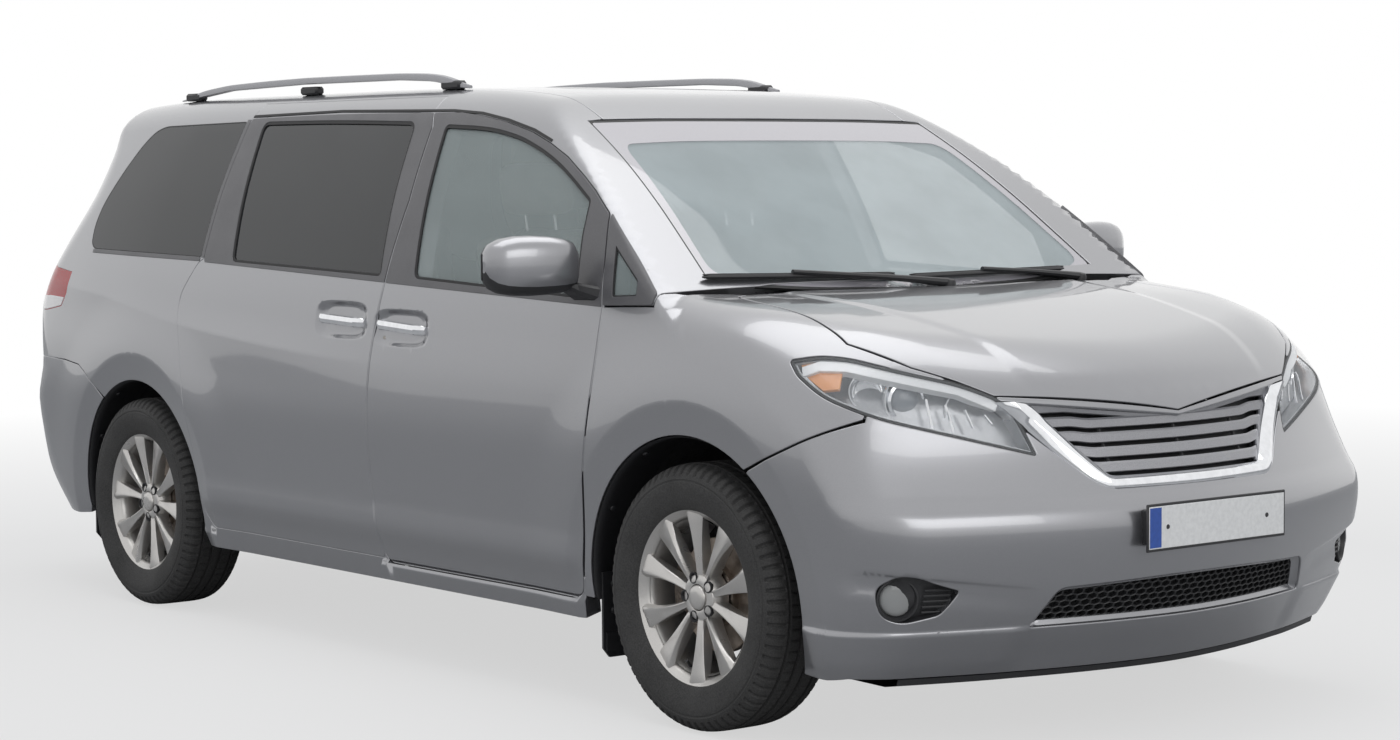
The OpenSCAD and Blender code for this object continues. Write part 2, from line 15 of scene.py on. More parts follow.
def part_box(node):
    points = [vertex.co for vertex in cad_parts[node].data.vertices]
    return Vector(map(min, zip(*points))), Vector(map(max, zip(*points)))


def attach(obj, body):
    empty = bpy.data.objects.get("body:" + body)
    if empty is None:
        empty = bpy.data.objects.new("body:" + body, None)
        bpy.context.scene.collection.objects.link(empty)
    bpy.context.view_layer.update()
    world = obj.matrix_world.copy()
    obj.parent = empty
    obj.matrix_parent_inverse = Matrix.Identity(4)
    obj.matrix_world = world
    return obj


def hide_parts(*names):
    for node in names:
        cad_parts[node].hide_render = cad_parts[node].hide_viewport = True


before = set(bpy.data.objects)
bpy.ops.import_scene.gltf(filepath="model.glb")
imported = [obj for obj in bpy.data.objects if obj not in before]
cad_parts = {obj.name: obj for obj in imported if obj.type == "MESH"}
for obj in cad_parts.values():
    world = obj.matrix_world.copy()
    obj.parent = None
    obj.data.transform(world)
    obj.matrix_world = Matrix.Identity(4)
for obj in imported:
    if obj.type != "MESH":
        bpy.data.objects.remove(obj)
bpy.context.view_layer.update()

MM = 0.001
RIGHT, LEFT = -1, 1
SIDES = ((RIGHT, "right"), (LEFT, "left"))

# ------------------------------------------------------------------ the body's outside surface
NOSE_X = 2542.5
HALF_WIDTH = 991.0
ROOF_HEIGHT = 1754.0
LONGEST_RAY, HALVINGS = 2600.0, 26   # how hit() searches along a ray
NORMAL_REACH = 2.0
INSIDE_Z = 700.0                     # a level well inside the car, where upward rays start


def smooth_rows(rows):
    """Rows of [key, value] with the slope at each, for smooth()."""
    keys, values = np.array(rows, float).T
    before, after = np.r_[0, np.arange(len(keys) - 1)], np.r_[np.arange(1, len(keys)), len(keys) - 1]
    return keys, values, (values[after] - values[before]) / (keys[after] - keys[before])


def smooth(t, table):
    """Smooth curve through the table's rows at t, held level beyond its ends."""
    keys, values, slopes = table
    t = np.clip(t, keys[0], keys[-1])
    i = np.clip(np.searchsorted(keys, t, side="right") - 1, 0, len(keys) - 2)
    h = keys[i + 1] - keys[i]
    s = (t - keys[i]) / h
    q, c = s * s, s * s * s
    return ((2 * c - 3 * q + 1) * values[i] + (c - 2 * q + s) * h * slopes[i]
            + (3 * q - 2 * c) * values[i + 1] + (c - q) * h * slopes[i + 1])


def smooth_max(a, b, k):
    h = np.maximum(k - np.abs(a - b), 0) / k
    return np.maximum(a, b) + h * h * k / 4


def bump(t, middle, width):
    """1 at middle, falling smoothly to 0 at width away from it."""
    s = np.clip(1 - ((t - middle) / width) ** 2, 0, 1)
    return s * s


def step_up(t, a, b):
    """0 below a, 1 above b, smooth between."""
    s = np.clip((t - a) / (b - a), 0, 1)
    return s * s * (3 - 2 * s)


SIDE = smooth_rows([[150, 70], [250, 43], [340, 23], [480, 11], [700, 0], [860, 5], [1000, 19],
                    [1150, 41], [1300, 86], [1450, 145], [1640, 239], [1760, 311]])
PLAN = smooth_rows([[-2550, 112], [-2300, 52], [-2000, 22], [-1700, 7], [-1400, 0], [-400, 0],
                    [1500, 0], [1800, 6], [2100, 22], [2350, 58], [2550, 105]])
HOOD = smooth_rows([[1200, 1188], [1489, 1146], [1800, 1112], [2100, 1052], [2313, 990],
                    [2420, 938], [2500, 872], [2560, 800]])
ROOF = smooth_rows([[-2200, 44], [-2000, 20], [-1735, 6], [-1500, 1], [-900, 0], [-300, 0],
                    [100, 6], [400, 24], [600, 52], [760, 99], [900, 154]])
FRONT = smooth_rows([[150, 167], [247, 120], [350, 62], [450, 22], [550, 0], [620, 8], [671, 46],
                     [760, 96], [845, 127], [900, 138], [1000, 200], [1100, 280]])
REAR = smooth_rows([[200, 102], [300, 42], [400, 4], [560, 0], [680, 4], [740, 46], [800, 86],
                    [900, 96], [1021, 118], [1200, 190], [1430, 312], [1600, 416], [1720, 492]])
SHIELD = smooth_rows([[1000, 1672], [1146, 1469], [1270, 1300], [1400, 1118], [1520, 930],
                      [1634, 722], [1760, 470]])
SHOULDER = smooth_rows([[1400, 120], [1750, 150], [2050, 280], [2300, 290]])
CORNER = smooth_rows([[200, 260], [290, 225], [463, 115], [759, 37], [880, 8], [1021, -30],
                      [1120, -8], [1225, 40], [1427, 118], [1550, 85], [1650, 10], [1720, 0]])
REAR_ROUND = smooth_rows([[1400, 165], [1560, 130], [1660, 55], [1760, 55]])
FRONT_AXLE, REAR_AXLE, AXLE_Z = 1571.0, -1459.0, 357.0
FRONT_ARCH, REAR_ARCH = 432.0, 424.0
WAIST = smooth_rows([[-2100, 1092], [-1986, 1086], [-1738, 1066], [-1476, 1032], [-1206, 992],
                     [-898, 963], [-364, 925], [300, 900]])
CUPS = ((199, 1018, 150, 56), (-137, 1032, 148, 58))


def hood_ridge(x):
    """Distance from the middle of the ridge along the hood."""
    return 560 - 0.16 * (x - 1500)


def fog_line(ya):
    """Height of the crease over the fog lamp."""
    return 432 + (ya - 520) * 0.14


def details(x, ya, z):
    """Fine shape of the skin, in millimetres proud of the main surface."""
    x, ya, z = np.broadcast_arrays(x, ya, z)
    flank = step_up(ya, 740, 840) * step_up(z, 150, 200)
    out = np.zeros(x.shape)
    for axle, radius in ((FRONT_AXLE, FRONT_ARCH), (REAR_AXLE, REAR_ARCH)):
        d = np.hypot(x - axle, z - AXLE_Z) - radius
        out += np.where(d < 88, -7 + 15 * d / 88, 8 * (1 - step_up(d, 88, 320)))
    between = step_up(x, -1080, -960) * (1 - step_up(x, 1040, 1150))
    out += between * (5 * bump(z, 425, 70) - 13 * (1 - step_up(z, 318, 424))
                      + 13 * (1 - step_up(z, 300, 311)))
    above = z - smooth(x, WAIST)
    crest = np.where(above > 0, np.maximum(1 - above / 90, 0) ** 2, np.maximum(1 + above / 150, 0) ** 2)
    out += 5.5 * crest * step_up(-x, -300, 900) * (1 - step_up(-x, 2050, 2250))
    for cx, cz, hx, hz in CUPS:
        r = ((x - cx) / hx) ** 4 + ((z - cz) / hz) ** 4
        out -= 13 * step_up(1 - r, 0, 0.75)
    out *= flank
    bonnet = step_up(x, 1350, 1500) * step_up(z, 900, 960)
    ridge = hood_ridge(x)
    out += 5 * bonnet * (1 - step_up(ya, ridge - 22, ridge + 34))
    wedge = np.clip((2440 - x) / 150, 0, 1) * np.clip((ya - 500) / 60, 0, 1) * step_up(x, 2120, 2220)
    line = fog_line(ya)
    out -= 9 * wedge * (1 - step_up(z, line - 7, line + 4)) * step_up(z, line - 75, line - 25)
    chin = step_up(x, 1960, 2060) * step_up(ya, 480, 570)
    out += 9 * chin * (1 - step_up(z, 322, 338)) * step_up(z, 190, 250)
    return out


def body_gap(p):
    """Signed distance of points from the skin: below 0 inside the car."""
    x, y, z = p[..., 0], p[..., 1], p[..., 2]
    ya = np.abs(y)
    side = ya - (HALF_WIDTH - smooth(z, SIDE) - smooth(x, PLAN))
    hood = z - smooth(x, HOOD) - 6 * np.minimum(ya / 650, 1) ** 2 + 10 * (ya / 900) ** 4
    front = x - NOSE_X + smooth(z, FRONT) + 285 * (ya / 985) ** 1.75
    rear = smooth(z, REAR) + 62 * (ya / 800) ** 2 + smooth(z, CORNER) * (ya / 900) ** 4 - NOSE_X - x
    roof = z - ROOF_HEIGHT + smooth(x, ROOF) + 16 * (ya / 700) ** 3
    bow = (10 + (1630 - z) / 40) * (ya / 700) ** 2
    shield = (x - smooth(z, SHIELD) + bow) * 0.55
    low = smooth_max(smooth_max(side, hood, smooth(x, SHOULDER)), front, 125)
    cab = smooth_max(smooth_max(side, roof, 90), shield, 25)
    body = smooth_max(np.minimum(low, cab), rear, smooth(z, REAR_ROUND))
    return body - details(x, ya, z)


def hit(origin, ray, depth=0.0):
    """Where rays from inside the car meet the skin at the given depth."""
    origin, ray = np.broadcast_arrays(np.asarray(origin, float), np.asarray(ray, float))
    lo, hi = np.zeros(ray.shape[:-1]), np.full(ray.shape[:-1], LONGEST_RAY)
    for _ in range(HALVINGS):
        mid = (lo + hi) / 2
        inside = body_gap(origin + ray * mid[..., None]) + depth < 0
        lo, hi = np.where(inside, mid, lo), np.where(inside, hi, mid)
    return origin + ray * ((lo + hi) / 2)[..., None]


def normals_at(p):
    """Outward unit normals of the skin at points on it."""
    g = np.stack([body_gap(p + NORMAL_REACH * axis) - body_gap(p - NORMAL_REACH * axis)
                  for axis in np.eye(3)], axis=-1)
    return g / np.maximum(np.linalg.norm(g, axis=-1, keepdims=True), 1e-9)


# ------------------------------------------------------------------ ways of laying a flat sheet on the skin
class AlongCar:
    """Flat coordinates for the sides and the roof: x, and the turn round a line along the car."""
    scale = 950.0
    z = 760.0

    def __init__(self, side):
        self.side = side

    def flat(self, p):
        turn = np.arctan2(p[..., 2] - self.z, self.side * p[..., 1])
        return np.stack([p[..., 0], turn * self.scale * self.side], axis=-1)

    def place(self, uv, depth=0.0):
        turn = uv[..., 1] * self.side / self.scale
        ray = np.stack([np.zeros_like(turn), self.side * np.cos(turn), np.sin(turn)], axis=-1)
        origin = np.stack([uv[..., 0], np.zeros_like(turn), np.full_like(turn, self.z)], axis=-1)
        return hit(origin, ray, depth)


class AroundRear(AlongCar):
    """As AlongCar, but behind a given x the rays fan out round the rear corner."""
    start = -1750.0

    def flat(self, p):
        turn = np.arctan2(p[..., 2] - self.z, self.side * p[..., 1])
        behind = np.maximum(self.start - p[..., 0], 0)
        fan = np.arctan2(behind, np.hypot(p[..., 1], p[..., 2] - self.z)) * self.scale
        return np.stack([np.maximum(p[..., 0], self.start) - fan, turn * self.scale * self.side], axis=-1)

    def place(self, uv, depth=0.0):
        turn = uv[..., 1] * self.side / self.scale
        fan = np.maximum(self.start - uv[..., 0], 0) / self.scale
        ray = np.stack([-np.sin(fan), self.side * np.cos(fan) * np.cos(turn), np.cos(fan) * np.sin(turn)],
                       axis=-1)
        origin = np.stack([np.maximum(uv[..., 0], self.start), np.zeros_like(turn),
                           np.full_like(turn, self.z)], axis=-1)
        return hit(origin, ray, depth)


class FromPoint:
    """Flat coordinates from angles about a point; the pole, along y or z, lies off the panel."""

    def __init__(self, centre, pole, face=1, scale=900.0):
        self.centre, self.pole, self.face, self.scale = np.array(centre, float), pole, face, scale

    def flat(self, p):
        d = (p - self.centre) * [self.face, self.face, 1]
        if self.pole == "y":
            d = d[..., [0, 2, 1]]
        around = np.arctan2(d[..., 1], d[..., 0])
        up = np.arctan2(d[..., 2], np.hypot(d[..., 0], d[..., 1]))
        return np.stack([around, up], axis=-1) * self.scale

    def place(self, uv, depth=0.0):
        around, up = uv[..., 0] / self.scale, uv[..., 1] / self.scale
        d = np.stack([np.cos(up) * np.cos(around), np.cos(up) * np.sin(around), np.sin(up)], axis=-1)
        if self.pole == "y":
            d = d[..., [0, 2, 1]]
        return hit(self.centre, d * [self.face, self.face, 1], depth)


class FromAbove:
    """Flat coordinates x and y, for the roof and the windshield."""

    def flat(self, p):
        return p[..., :2].copy()

    def place(self, uv, depth=0.0):
        origin = np.stack([uv[..., 0], uv[..., 1], np.full_like(uv[..., 0], INSIDE_Z)], axis=-1)
        return hit(origin, [0.0, 0.0, 1.0], depth)


# ------------------------------------------------------------------ outlines drawn on the skin
def rounded(points, radius=0.0):
    """A closed outline with its corners rounded; a point may give its own radius as a third number."""
    out = []
    n = len(points)
    for i, point in enumerate(points):
        here = np.array(point[:2], float)
        r = point[2] if len(point) > 2 else radius
        if r <= 0:
            out.append(here)
            continue
        back = np.array(points[i - 1][:2], float) - here
        on = np.array(points[(i + 1) % n][:2], float) - here
        r = min(r, 0.48 * np.linalg.norm(back), 0.48 * np.linalg.norm(on))
        a = here + back / np.linalg.norm(back) * r
        b = here + on / np.linalg.norm(on) * r
        for t in np.linspace(0, 1, 7):
            out.append((1 - t) ** 2 * a + 2 * t * (1 - t) * here + t * t * b)
    return np.array(out)


def dense(outline, spacing, closed=True):
    """The outline with points no further apart than the spacing."""
    out = []
    outline = np.asarray(outline, float)
    ends = np.roll(outline, -1, axis=0) if closed else outline[1:]
    for a, b in zip(outline, ends):
        n = max(1, int(math.ceil(np.linalg.norm(b - a) / spacing)))
        out.extend(a + (b - a) * k / n for k in range(n))
    if not closed:
        out.append(outline[-1])
    return np.array(out)


def on_side(outline, side):
    """Points of a side view (x, z) carried across onto the skin."""
    o = np.asarray(outline, float)
    origin = np.stack([o[:, 0], np.zeros(len(o)), o[:, 1]], axis=-1)
    return hit(origin, [0.0, float(side), 0.0])


def on_front(outline, direction=1):
    """Points of a front view (y, z) carried onto the skin, or onto the rear with direction -1."""
    o = np.asarray(outline, float)
    origin = np.stack([np.zeros(len(o)), o[:, 0], o[:, 1]], axis=-1)
    return hit(origin, [float(direction), 0.0, 0.0])


def on_top(outline):
    """Points of a top view (x, y) carried up onto the skin."""
    o = np.asarray(outline, float)
    origin = np.stack([o[:, 0], o[:, 1], np.full(len(o), INSIDE_Z)], axis=-1)
    return hit(origin, [0.0, 0.0, 1.0])


def inside_loop(points, loop):
    """Which points lie inside a closed loop."""
    x, y = points[:, 0], points[:, 1]
    result = np.zeros(len(points), bool)
    for (x0, y0), (x1, y1) in zip(loop, np.roll(loop, -1, axis=0)):
        if y0 == y1:
            continue
        crosses = (y0 > y) != (y1 > y)
        result ^= crosses & (x < (x1 - x0) * (y - y0) / (y1 - y0) + x0)
    return result


def distance_to_loop(points, loop):
    """Distance of points from the nearest edge of a closed loop."""
    best = np.full(len(points), 1e9)
    for a, b in zip(loop, np.roll(loop, -1, axis=0)):
        d = b - a
        t = np.clip(((points - a) @ d) / max(d @ d, 1e-9), 0, 1)
        best = np.minimum(best, np.linalg.norm(points - a - t[:, None] * d, axis=1))
    return best


# ------------------------------------------------------------------ meshes
def linked(name, data):
    """A new object in the scene for a mesh, lamp or camera."""
    obj = bpy.data.objects.new(name, data)
    bpy.context.scene.collection.objects.link(obj)
    return obj


def build_mesh(name, points, faces, materials, face_material=None, normals=None):
    """A Blender object from points in millimetres."""
    mesh = bpy.data.meshes.new(name)
    mesh.from_pydata((np.asarray(points) * MM).tolist(), [], [list(map(int, f)) for f in faces])
    for material in materials:
        mesh.materials.append(material)
    if face_material is not None:
        mesh.polygons.foreach_set("material_index", np.asarray(face_material, np.int32))
    mesh.polygons.foreach_set("use_smooth", np.ones(len(mesh.polygons), bool))
    mesh.validate()
    mesh.update()
    if normals is not None and len(normals) == len(mesh.vertices):
        mesh.normals_split_custom_set_from_vertices(np.asarray(normals).tolist())
    return linked(name, mesh)


def fill_flat(loops, spacing, extra=None):
    """Triangles filling the first loop less the others, with the loops' own points first.

    extra holds more flat points to pass through, such as those along a crease."""
    boundary = np.concatenate(loops)
    lo, hi = boundary.min(0), boundary.max(0)
    rows = np.arange(lo[1] + spacing / 2, hi[1], spacing * 0.866)
    grid = [np.zeros((0, 2))]
    for k, row in enumerate(rows):
        across = np.arange(lo[0] + (k % 2) * spacing / 2, hi[0], spacing)
        grid.append(np.stack([across, np.full(len(across), row)], axis=-1))
    grid = np.concatenate(grid)
    keep = inside_loop(grid, loops[0])
    for loop in loops[1:]:
        keep &= ~inside_loop(grid, loop)
    grid = grid[keep]
    for loop in loops:
        grid = grid[distance_to_loop(grid, loop) > spacing * 0.45]
    if extra is not None and len(extra):
        keep = inside_loop(extra, loops[0])
        for loop in loops[1:]:
            keep &= ~inside_loop(extra, loop)
        extra = extra[keep]
        for loop in loops:
            extra = extra[distance_to_loop(extra, loop) > 4]
        if len(extra):
            near = np.array([np.abs(extra - g).sum(1).min() for g in grid])
            grid = np.concatenate([grid[near > spacing * 0.3], extra])
    points = np.concatenate([boundary, grid])
    edges, start = [], 0
    for loop in loops:
        n = len(loop)
        edges += [(start + i, start + (i + 1) % n) for i in range(n)]
        start += n
    verts, _, faces, *_ = delaunay_2d_cdt([Vector(p) for p in points], edges, [], 1, 1e-4)
    verts = np.array([v[:] for v in verts])
    faces = np.array([f for f in faces if len(f) == 3])
    middles = verts[faces].mean(axis=1)
    keep = inside_loop(middles, loops[0])
    for loop in loops[1:]:
        keep &= ~inside_loop(middles, loop)
    faces = faces[keep]
    a, b, c = verts[faces[:, 0]], verts[faces[:, 1]], verts[faces[:, 2]]
    area = (b[:, 0] - a[:, 0]) * (c[:, 1] - a[:, 1]) - (b[:, 1] - a[:, 1]) * (c[:, 0] - a[:, 0])
    faces[area < 0] = faces[area < 0][:, ::-1]
    used, faces = np.unique(faces[np.abs(area) > 1e-6], return_inverse=True)
    return verts[used], faces.reshape(-1, 3)


def boundary_edges(faces):
    """Directed edges that belong to one triangle only."""
    edges = np.concatenate([faces[:, [0, 1]], faces[:, [1, 2]], faces[:, [2, 0]]])
    key = {(a, b) for a, b in edges.tolist()}
    return [(a, b) for a, b in key if (b, a) not in key]


def skin_panel(name, sheet, loops, materials, grow, depth=0.0, thick=14.0, edge=2.5, spacing=28.0,
               back=True, edge_spacing=12.0, creases=None):
    """A panel of the skin inside the first loop less the others, with rounded edges and a back.

    loops are lists of points on the skin; materials are the outside's and the back's."""
    flat_loops = [grown(sheet.flat(dense(np.asarray(loop), edge_spacing)), by)
                  for loop, by in zip(loops, grow)]
    uv, faces = fill_flat(flat_loops, spacing, None if creases is None else sheet.flat(creases))
    shaped = callable(depth)
    top = sheet.place(uv, depth(uv, flat_loops) if shaped else depth)
    normals = normals_at(top)
    a, b, c = top[faces[:, 0]], top[faces[:, 1]], top[faces[:, 2]]
    facing = (np.cross(b - a, c - a) * normals[faces[:, 0]]).sum(-1)
    if facing.sum() < 0:
        faces = faces[:, ::-1]
    rim = boundary_edges(faces)
    rim_ids = sorted({a for a, _ in rim})
    index = {v: i for i, v in enumerate(rim_ids)}
    outward = np.zeros((len(rim_ids), 3))
    for a, b in rim:
        across = np.cross(top[b] - top[a], normals[a])
        across /= max(np.linalg.norm(across), 1e-9)
        outward[index[a]] += across
        outward[index[b]] += across
    outward /= np.maximum(np.linalg.norm(outward, axis=1, keepdims=True), 1e-9)
    points, all_normals, all_faces = [top], [normals], [faces.tolist()]
    rim_top, rim_normal = top[rim_ids], normals[rim_ids]
    turns = [math.radians(t) for t in (30, 60, 90)] if edge > 0 else []
    rings = [np.array(rim_ids)]
    count = len(top)
    for t in turns:
        points.append(rim_top + outward * edge * math.sin(t) - rim_normal * edge * (1 - math.cos(t)))
        all_normals.append(rim_normal * math.cos(t) + outward * math.sin(t))
        rings.append(np.arange(count, count + len(rim_ids)))
        count += len(rim_ids)
    points.append(rim_top + outward * edge - rim_normal * thick)
    all_normals.append(outward)
    rings.append(np.arange(count, count + len(rim_ids)))
    count += len(rim_ids)
    for upper, lower in zip(rings, rings[1:]):
        up = dict(zip(rim_ids, upper))
        down = dict(zip(rim_ids, lower))
        all_faces.append([[up[b], up[a], down[a], down[b]] for a, b in rim])
    front_count = sum(len(f) for f in all_faces)
    if back:
        under = top - normals * thick
        points.append(under)
        all_normals.append(-normals)
        all_faces.append((faces[:, ::-1] + count).tolist())
        last = dict(zip(rim_ids, rings[-1]))
        all_faces.append([[last[b], last[a], a + count, b + count] for a, b in rim])
    flat_faces = [f for group in all_faces for f in group]
    which = np.zeros(len(flat_faces), np.int32)
    which[front_count:] = min(1, len(materials) - 1)
    obj = build_mesh(name, np.concatenate(points), flat_faces, materials, which,
                     None if shaped else np.concatenate(all_normals))
    if shaped:
        obj.data.set_sharp_from_angle(angle=math.radians(28))
    return obj


def ride(obj, body, slot, *nodes):
    """Puts a piece on a body and hides the CAD nodes that it stands for; the slot is not used."""
    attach(obj, body)
    if nodes:
        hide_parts(*nodes)
    return obj


def grown(loop, by):
    """A closed flat loop moved outwards by a distance, with mitred corners."""
    if by == 0:
        return loop
    loop = np.asarray(loop)
    x, y = loop.T
    if (x * np.roll(y, -1) - np.roll(x, -1) * y).sum() < 0:
        by = -by
    ahead = np.roll(loop, -1, axis=0) - loop
    ahead /= np.maximum(np.linalg.norm(ahead, axis=1, keepdims=True), 1e-9)
    out = np.stack([ahead[:, 1], -ahead[:, 0]], axis=-1)
    both = out + np.roll(out, 1, axis=0)
    return loop + by * both / np.maximum((both * both).sum(1, keepdims=True) / 2, 0.35)


# ------------------------------------------------------------------ outlines of the panels
DOOR_FRONT = [(1092, 311, 30), (1112, 414, 60), (1165, 860, 200), (1187, 1117), (1160, 1241),
              (1125, 1364, 12)]
DOOR_TOP = [(1024, 1430), (954, 1468), (837, 1524), (727, 1564), (620, 1596), (465, 1628),
            (311, 1651), (200, 1662)]
DOOR_REAR = [(50, 1662, 8), (79, 1619), (108, 1400), (88, 1157, 20), (50, 960, 100), (36, 796, 120),
             (45, 560, 120), (75, 325, 8), (90, 311, 8)]
FRONT_DOOR = DOOR_FRONT + DOOR_TOP + DOOR_REAR
FRONT_WINDOW = [(242, 1167, 25), (1066, 1134, 12), (1058, 1206), (1035, 1307), (1024, 1403, 12),
                (932, 1451, 30), (838, 1497, 60), (727, 1540, 60), (577, 1584, 60), (436, 1608, 60),
                (340, 1617, 60), (145, 1626, 25)]
SLIDING_DOOR = [(40, 1716), (43, 1662), (72, 1619), (101, 1400), (81, 1157, 20), (43, 960, 100),
                (29, 796, 120), (38, 560, 120), (68, 325, 8), (58, 315, 8), (-973, 315, 20),
                (-1022, 367, 60), (-1073, 632, 200), (-1130, 900, 150), (-1176, 1062, 60),
                (-1071, 1191, 20), (-1040, 1204, 10), (-1052, 1655), (-1040, 1716)]
SLIDING_WINDOW = [(60, 1169, 25), (-851, 1195, 25), (-958, 1652, 40), (-500, 1650, 200),
                  (-23, 1637, 40)]
QUARTER_WINDOW = [(-1062, 1208, 10), (-1860, 1222, 30), (-1896, 1240, 30), (-1910, 1300, 60),
                  (-1895, 1371, 80), (-1826, 1490, 120), (-1757, 1585, 80), (-1706, 1630, 40),
                  (-1640, 1648, 40), (-1076, 1655, 12)]
CORNER_WINDOW = [(1229, 1140, 8), (1338, 1145, 8), (1333, 1189, 8), (1197, 1281, 4)]
CORNER_FRAME = [(1193, 1119, 4), (1410, 1126, 8), (1413, 1156, 8), (1312, 1236, 60), (1135, 1364, 6),
                (1168, 1241)]
DOOR_FRAME = [(92, 1150, 4), (1185, 1113, 4), (1160, 1241), (1125, 1364, 12)] + DOOR_TOP + [
    (50, 1662, 8), (79, 1619), (108, 1400)]
SLIDING_FRAME = [(84, 1151, 4), (101, 1400), (72, 1619), (43, 1664, 4), (-500, 1671, 200),
                 (-1045, 1665, 8), (-1050, 1640), (-1038, 1204), (-1030, 1190, 4)]
REAR_SEAM = [(-1690, 690), (-1760, 748, 30), (-1832, 789, 30), (-1885, 811, 60), (-2013, 822, 60),
             (-2300, 822)]
HOOD_REAR = [(1500, 0), (1498, -500), (1502, -715, 30), (1520, -752, 30), (1823, -780, 200),
             (2024, -808)]
HOOD_EDGE = [(720, 985), (635, 951), (554, 911), (0, 852)]
LAMP = [(716, 1001, 8), (736, 966, 12), (800, 917, 60), (930, 866, 80), (1130, 815, 80),
        (1336, 761, 6), (1290, 850, 20), (1244, 902, 30), (1142, 943, 60), (993, 977, 60),
        (865, 1008, 60), (790, 1013, 30)]
GRILLE = [(0, 668, 100), (300, 668, 30), (345, 690, 30), (562, 885, 12), (548, 900, 8), (0, 843)]
LOWER_GRILLE = [(0, 326, 100), (521, 326, 20), (466, 430, 25), (0, 448, 200)]
SHIELD_EDGE = [(0, 1634, 200), (400, 1633, 200), (651, 1627, 12), (745, 1194, 12), (700, 1180, 30),
               (400, 1158, 100), (0, 1150, 100)]
GATE_WINDOW = [(0, 1235, 100), (600, 1238, 30), (640, 1262, 30), (600, 1560, 30), (560, 1590, 30),
               (0, 1600, 100)]


def mirrored(half):
    """A front view's half outline (y, z) closed with its mirror image."""
    return list(half) + [(-p[0],) + tuple(p[1:]) for p in reversed(half) if abs(p[0]) > 1]


def side_loop(points, side):
    return on_side(dense(rounded(points), 30), side)


def front_loop(points, direction=1):
    return on_front(dense(rounded(points), 30), direction)


def arch_loop(axle, radius, side):
    t = np.linspace(0, 2 * math.pi, 97)[:-1]
    return on_side(np.stack([axle + radius * np.cos(t), AXLE_Z + radius * np.sin(t)], -1), side)


def lamp_loop(side):
    """The headlight's outline, drawn on an upright plane that faces the front corner."""
    across, up = dense(rounded(LAMP), 15).T
    s = math.sqrt(0.5)
    inner = 300.0
    start = np.stack([s * (across + inner), side * s * (inner - across), up], axis=-1)
    return hit(start, [s, side * s, 0.0])


HOOD_LOOP = np.concatenate([
    on_top(dense(rounded(HOOD_REAR), 30, closed=False)),
    on_front([(y * -1, z) for y, z in HOOD_EDGE]),
    on_front([(y, z) for y, z in reversed(HOOD_EDGE[:-1])]),
    on_top([(x, -y) for x, y in dense(rounded(HOOD_REAR), 30, closed=False).tolist()[:0:-1]])])
LAMP_LOOPS = {side: lamp_loop(side) for side in (RIGHT, LEFT)}
GRILLE_LOOP = front_loop(mirrored(GRILLE))
SHIELD_LOOP = front_loop(mirrored(SHIELD_EDGE))


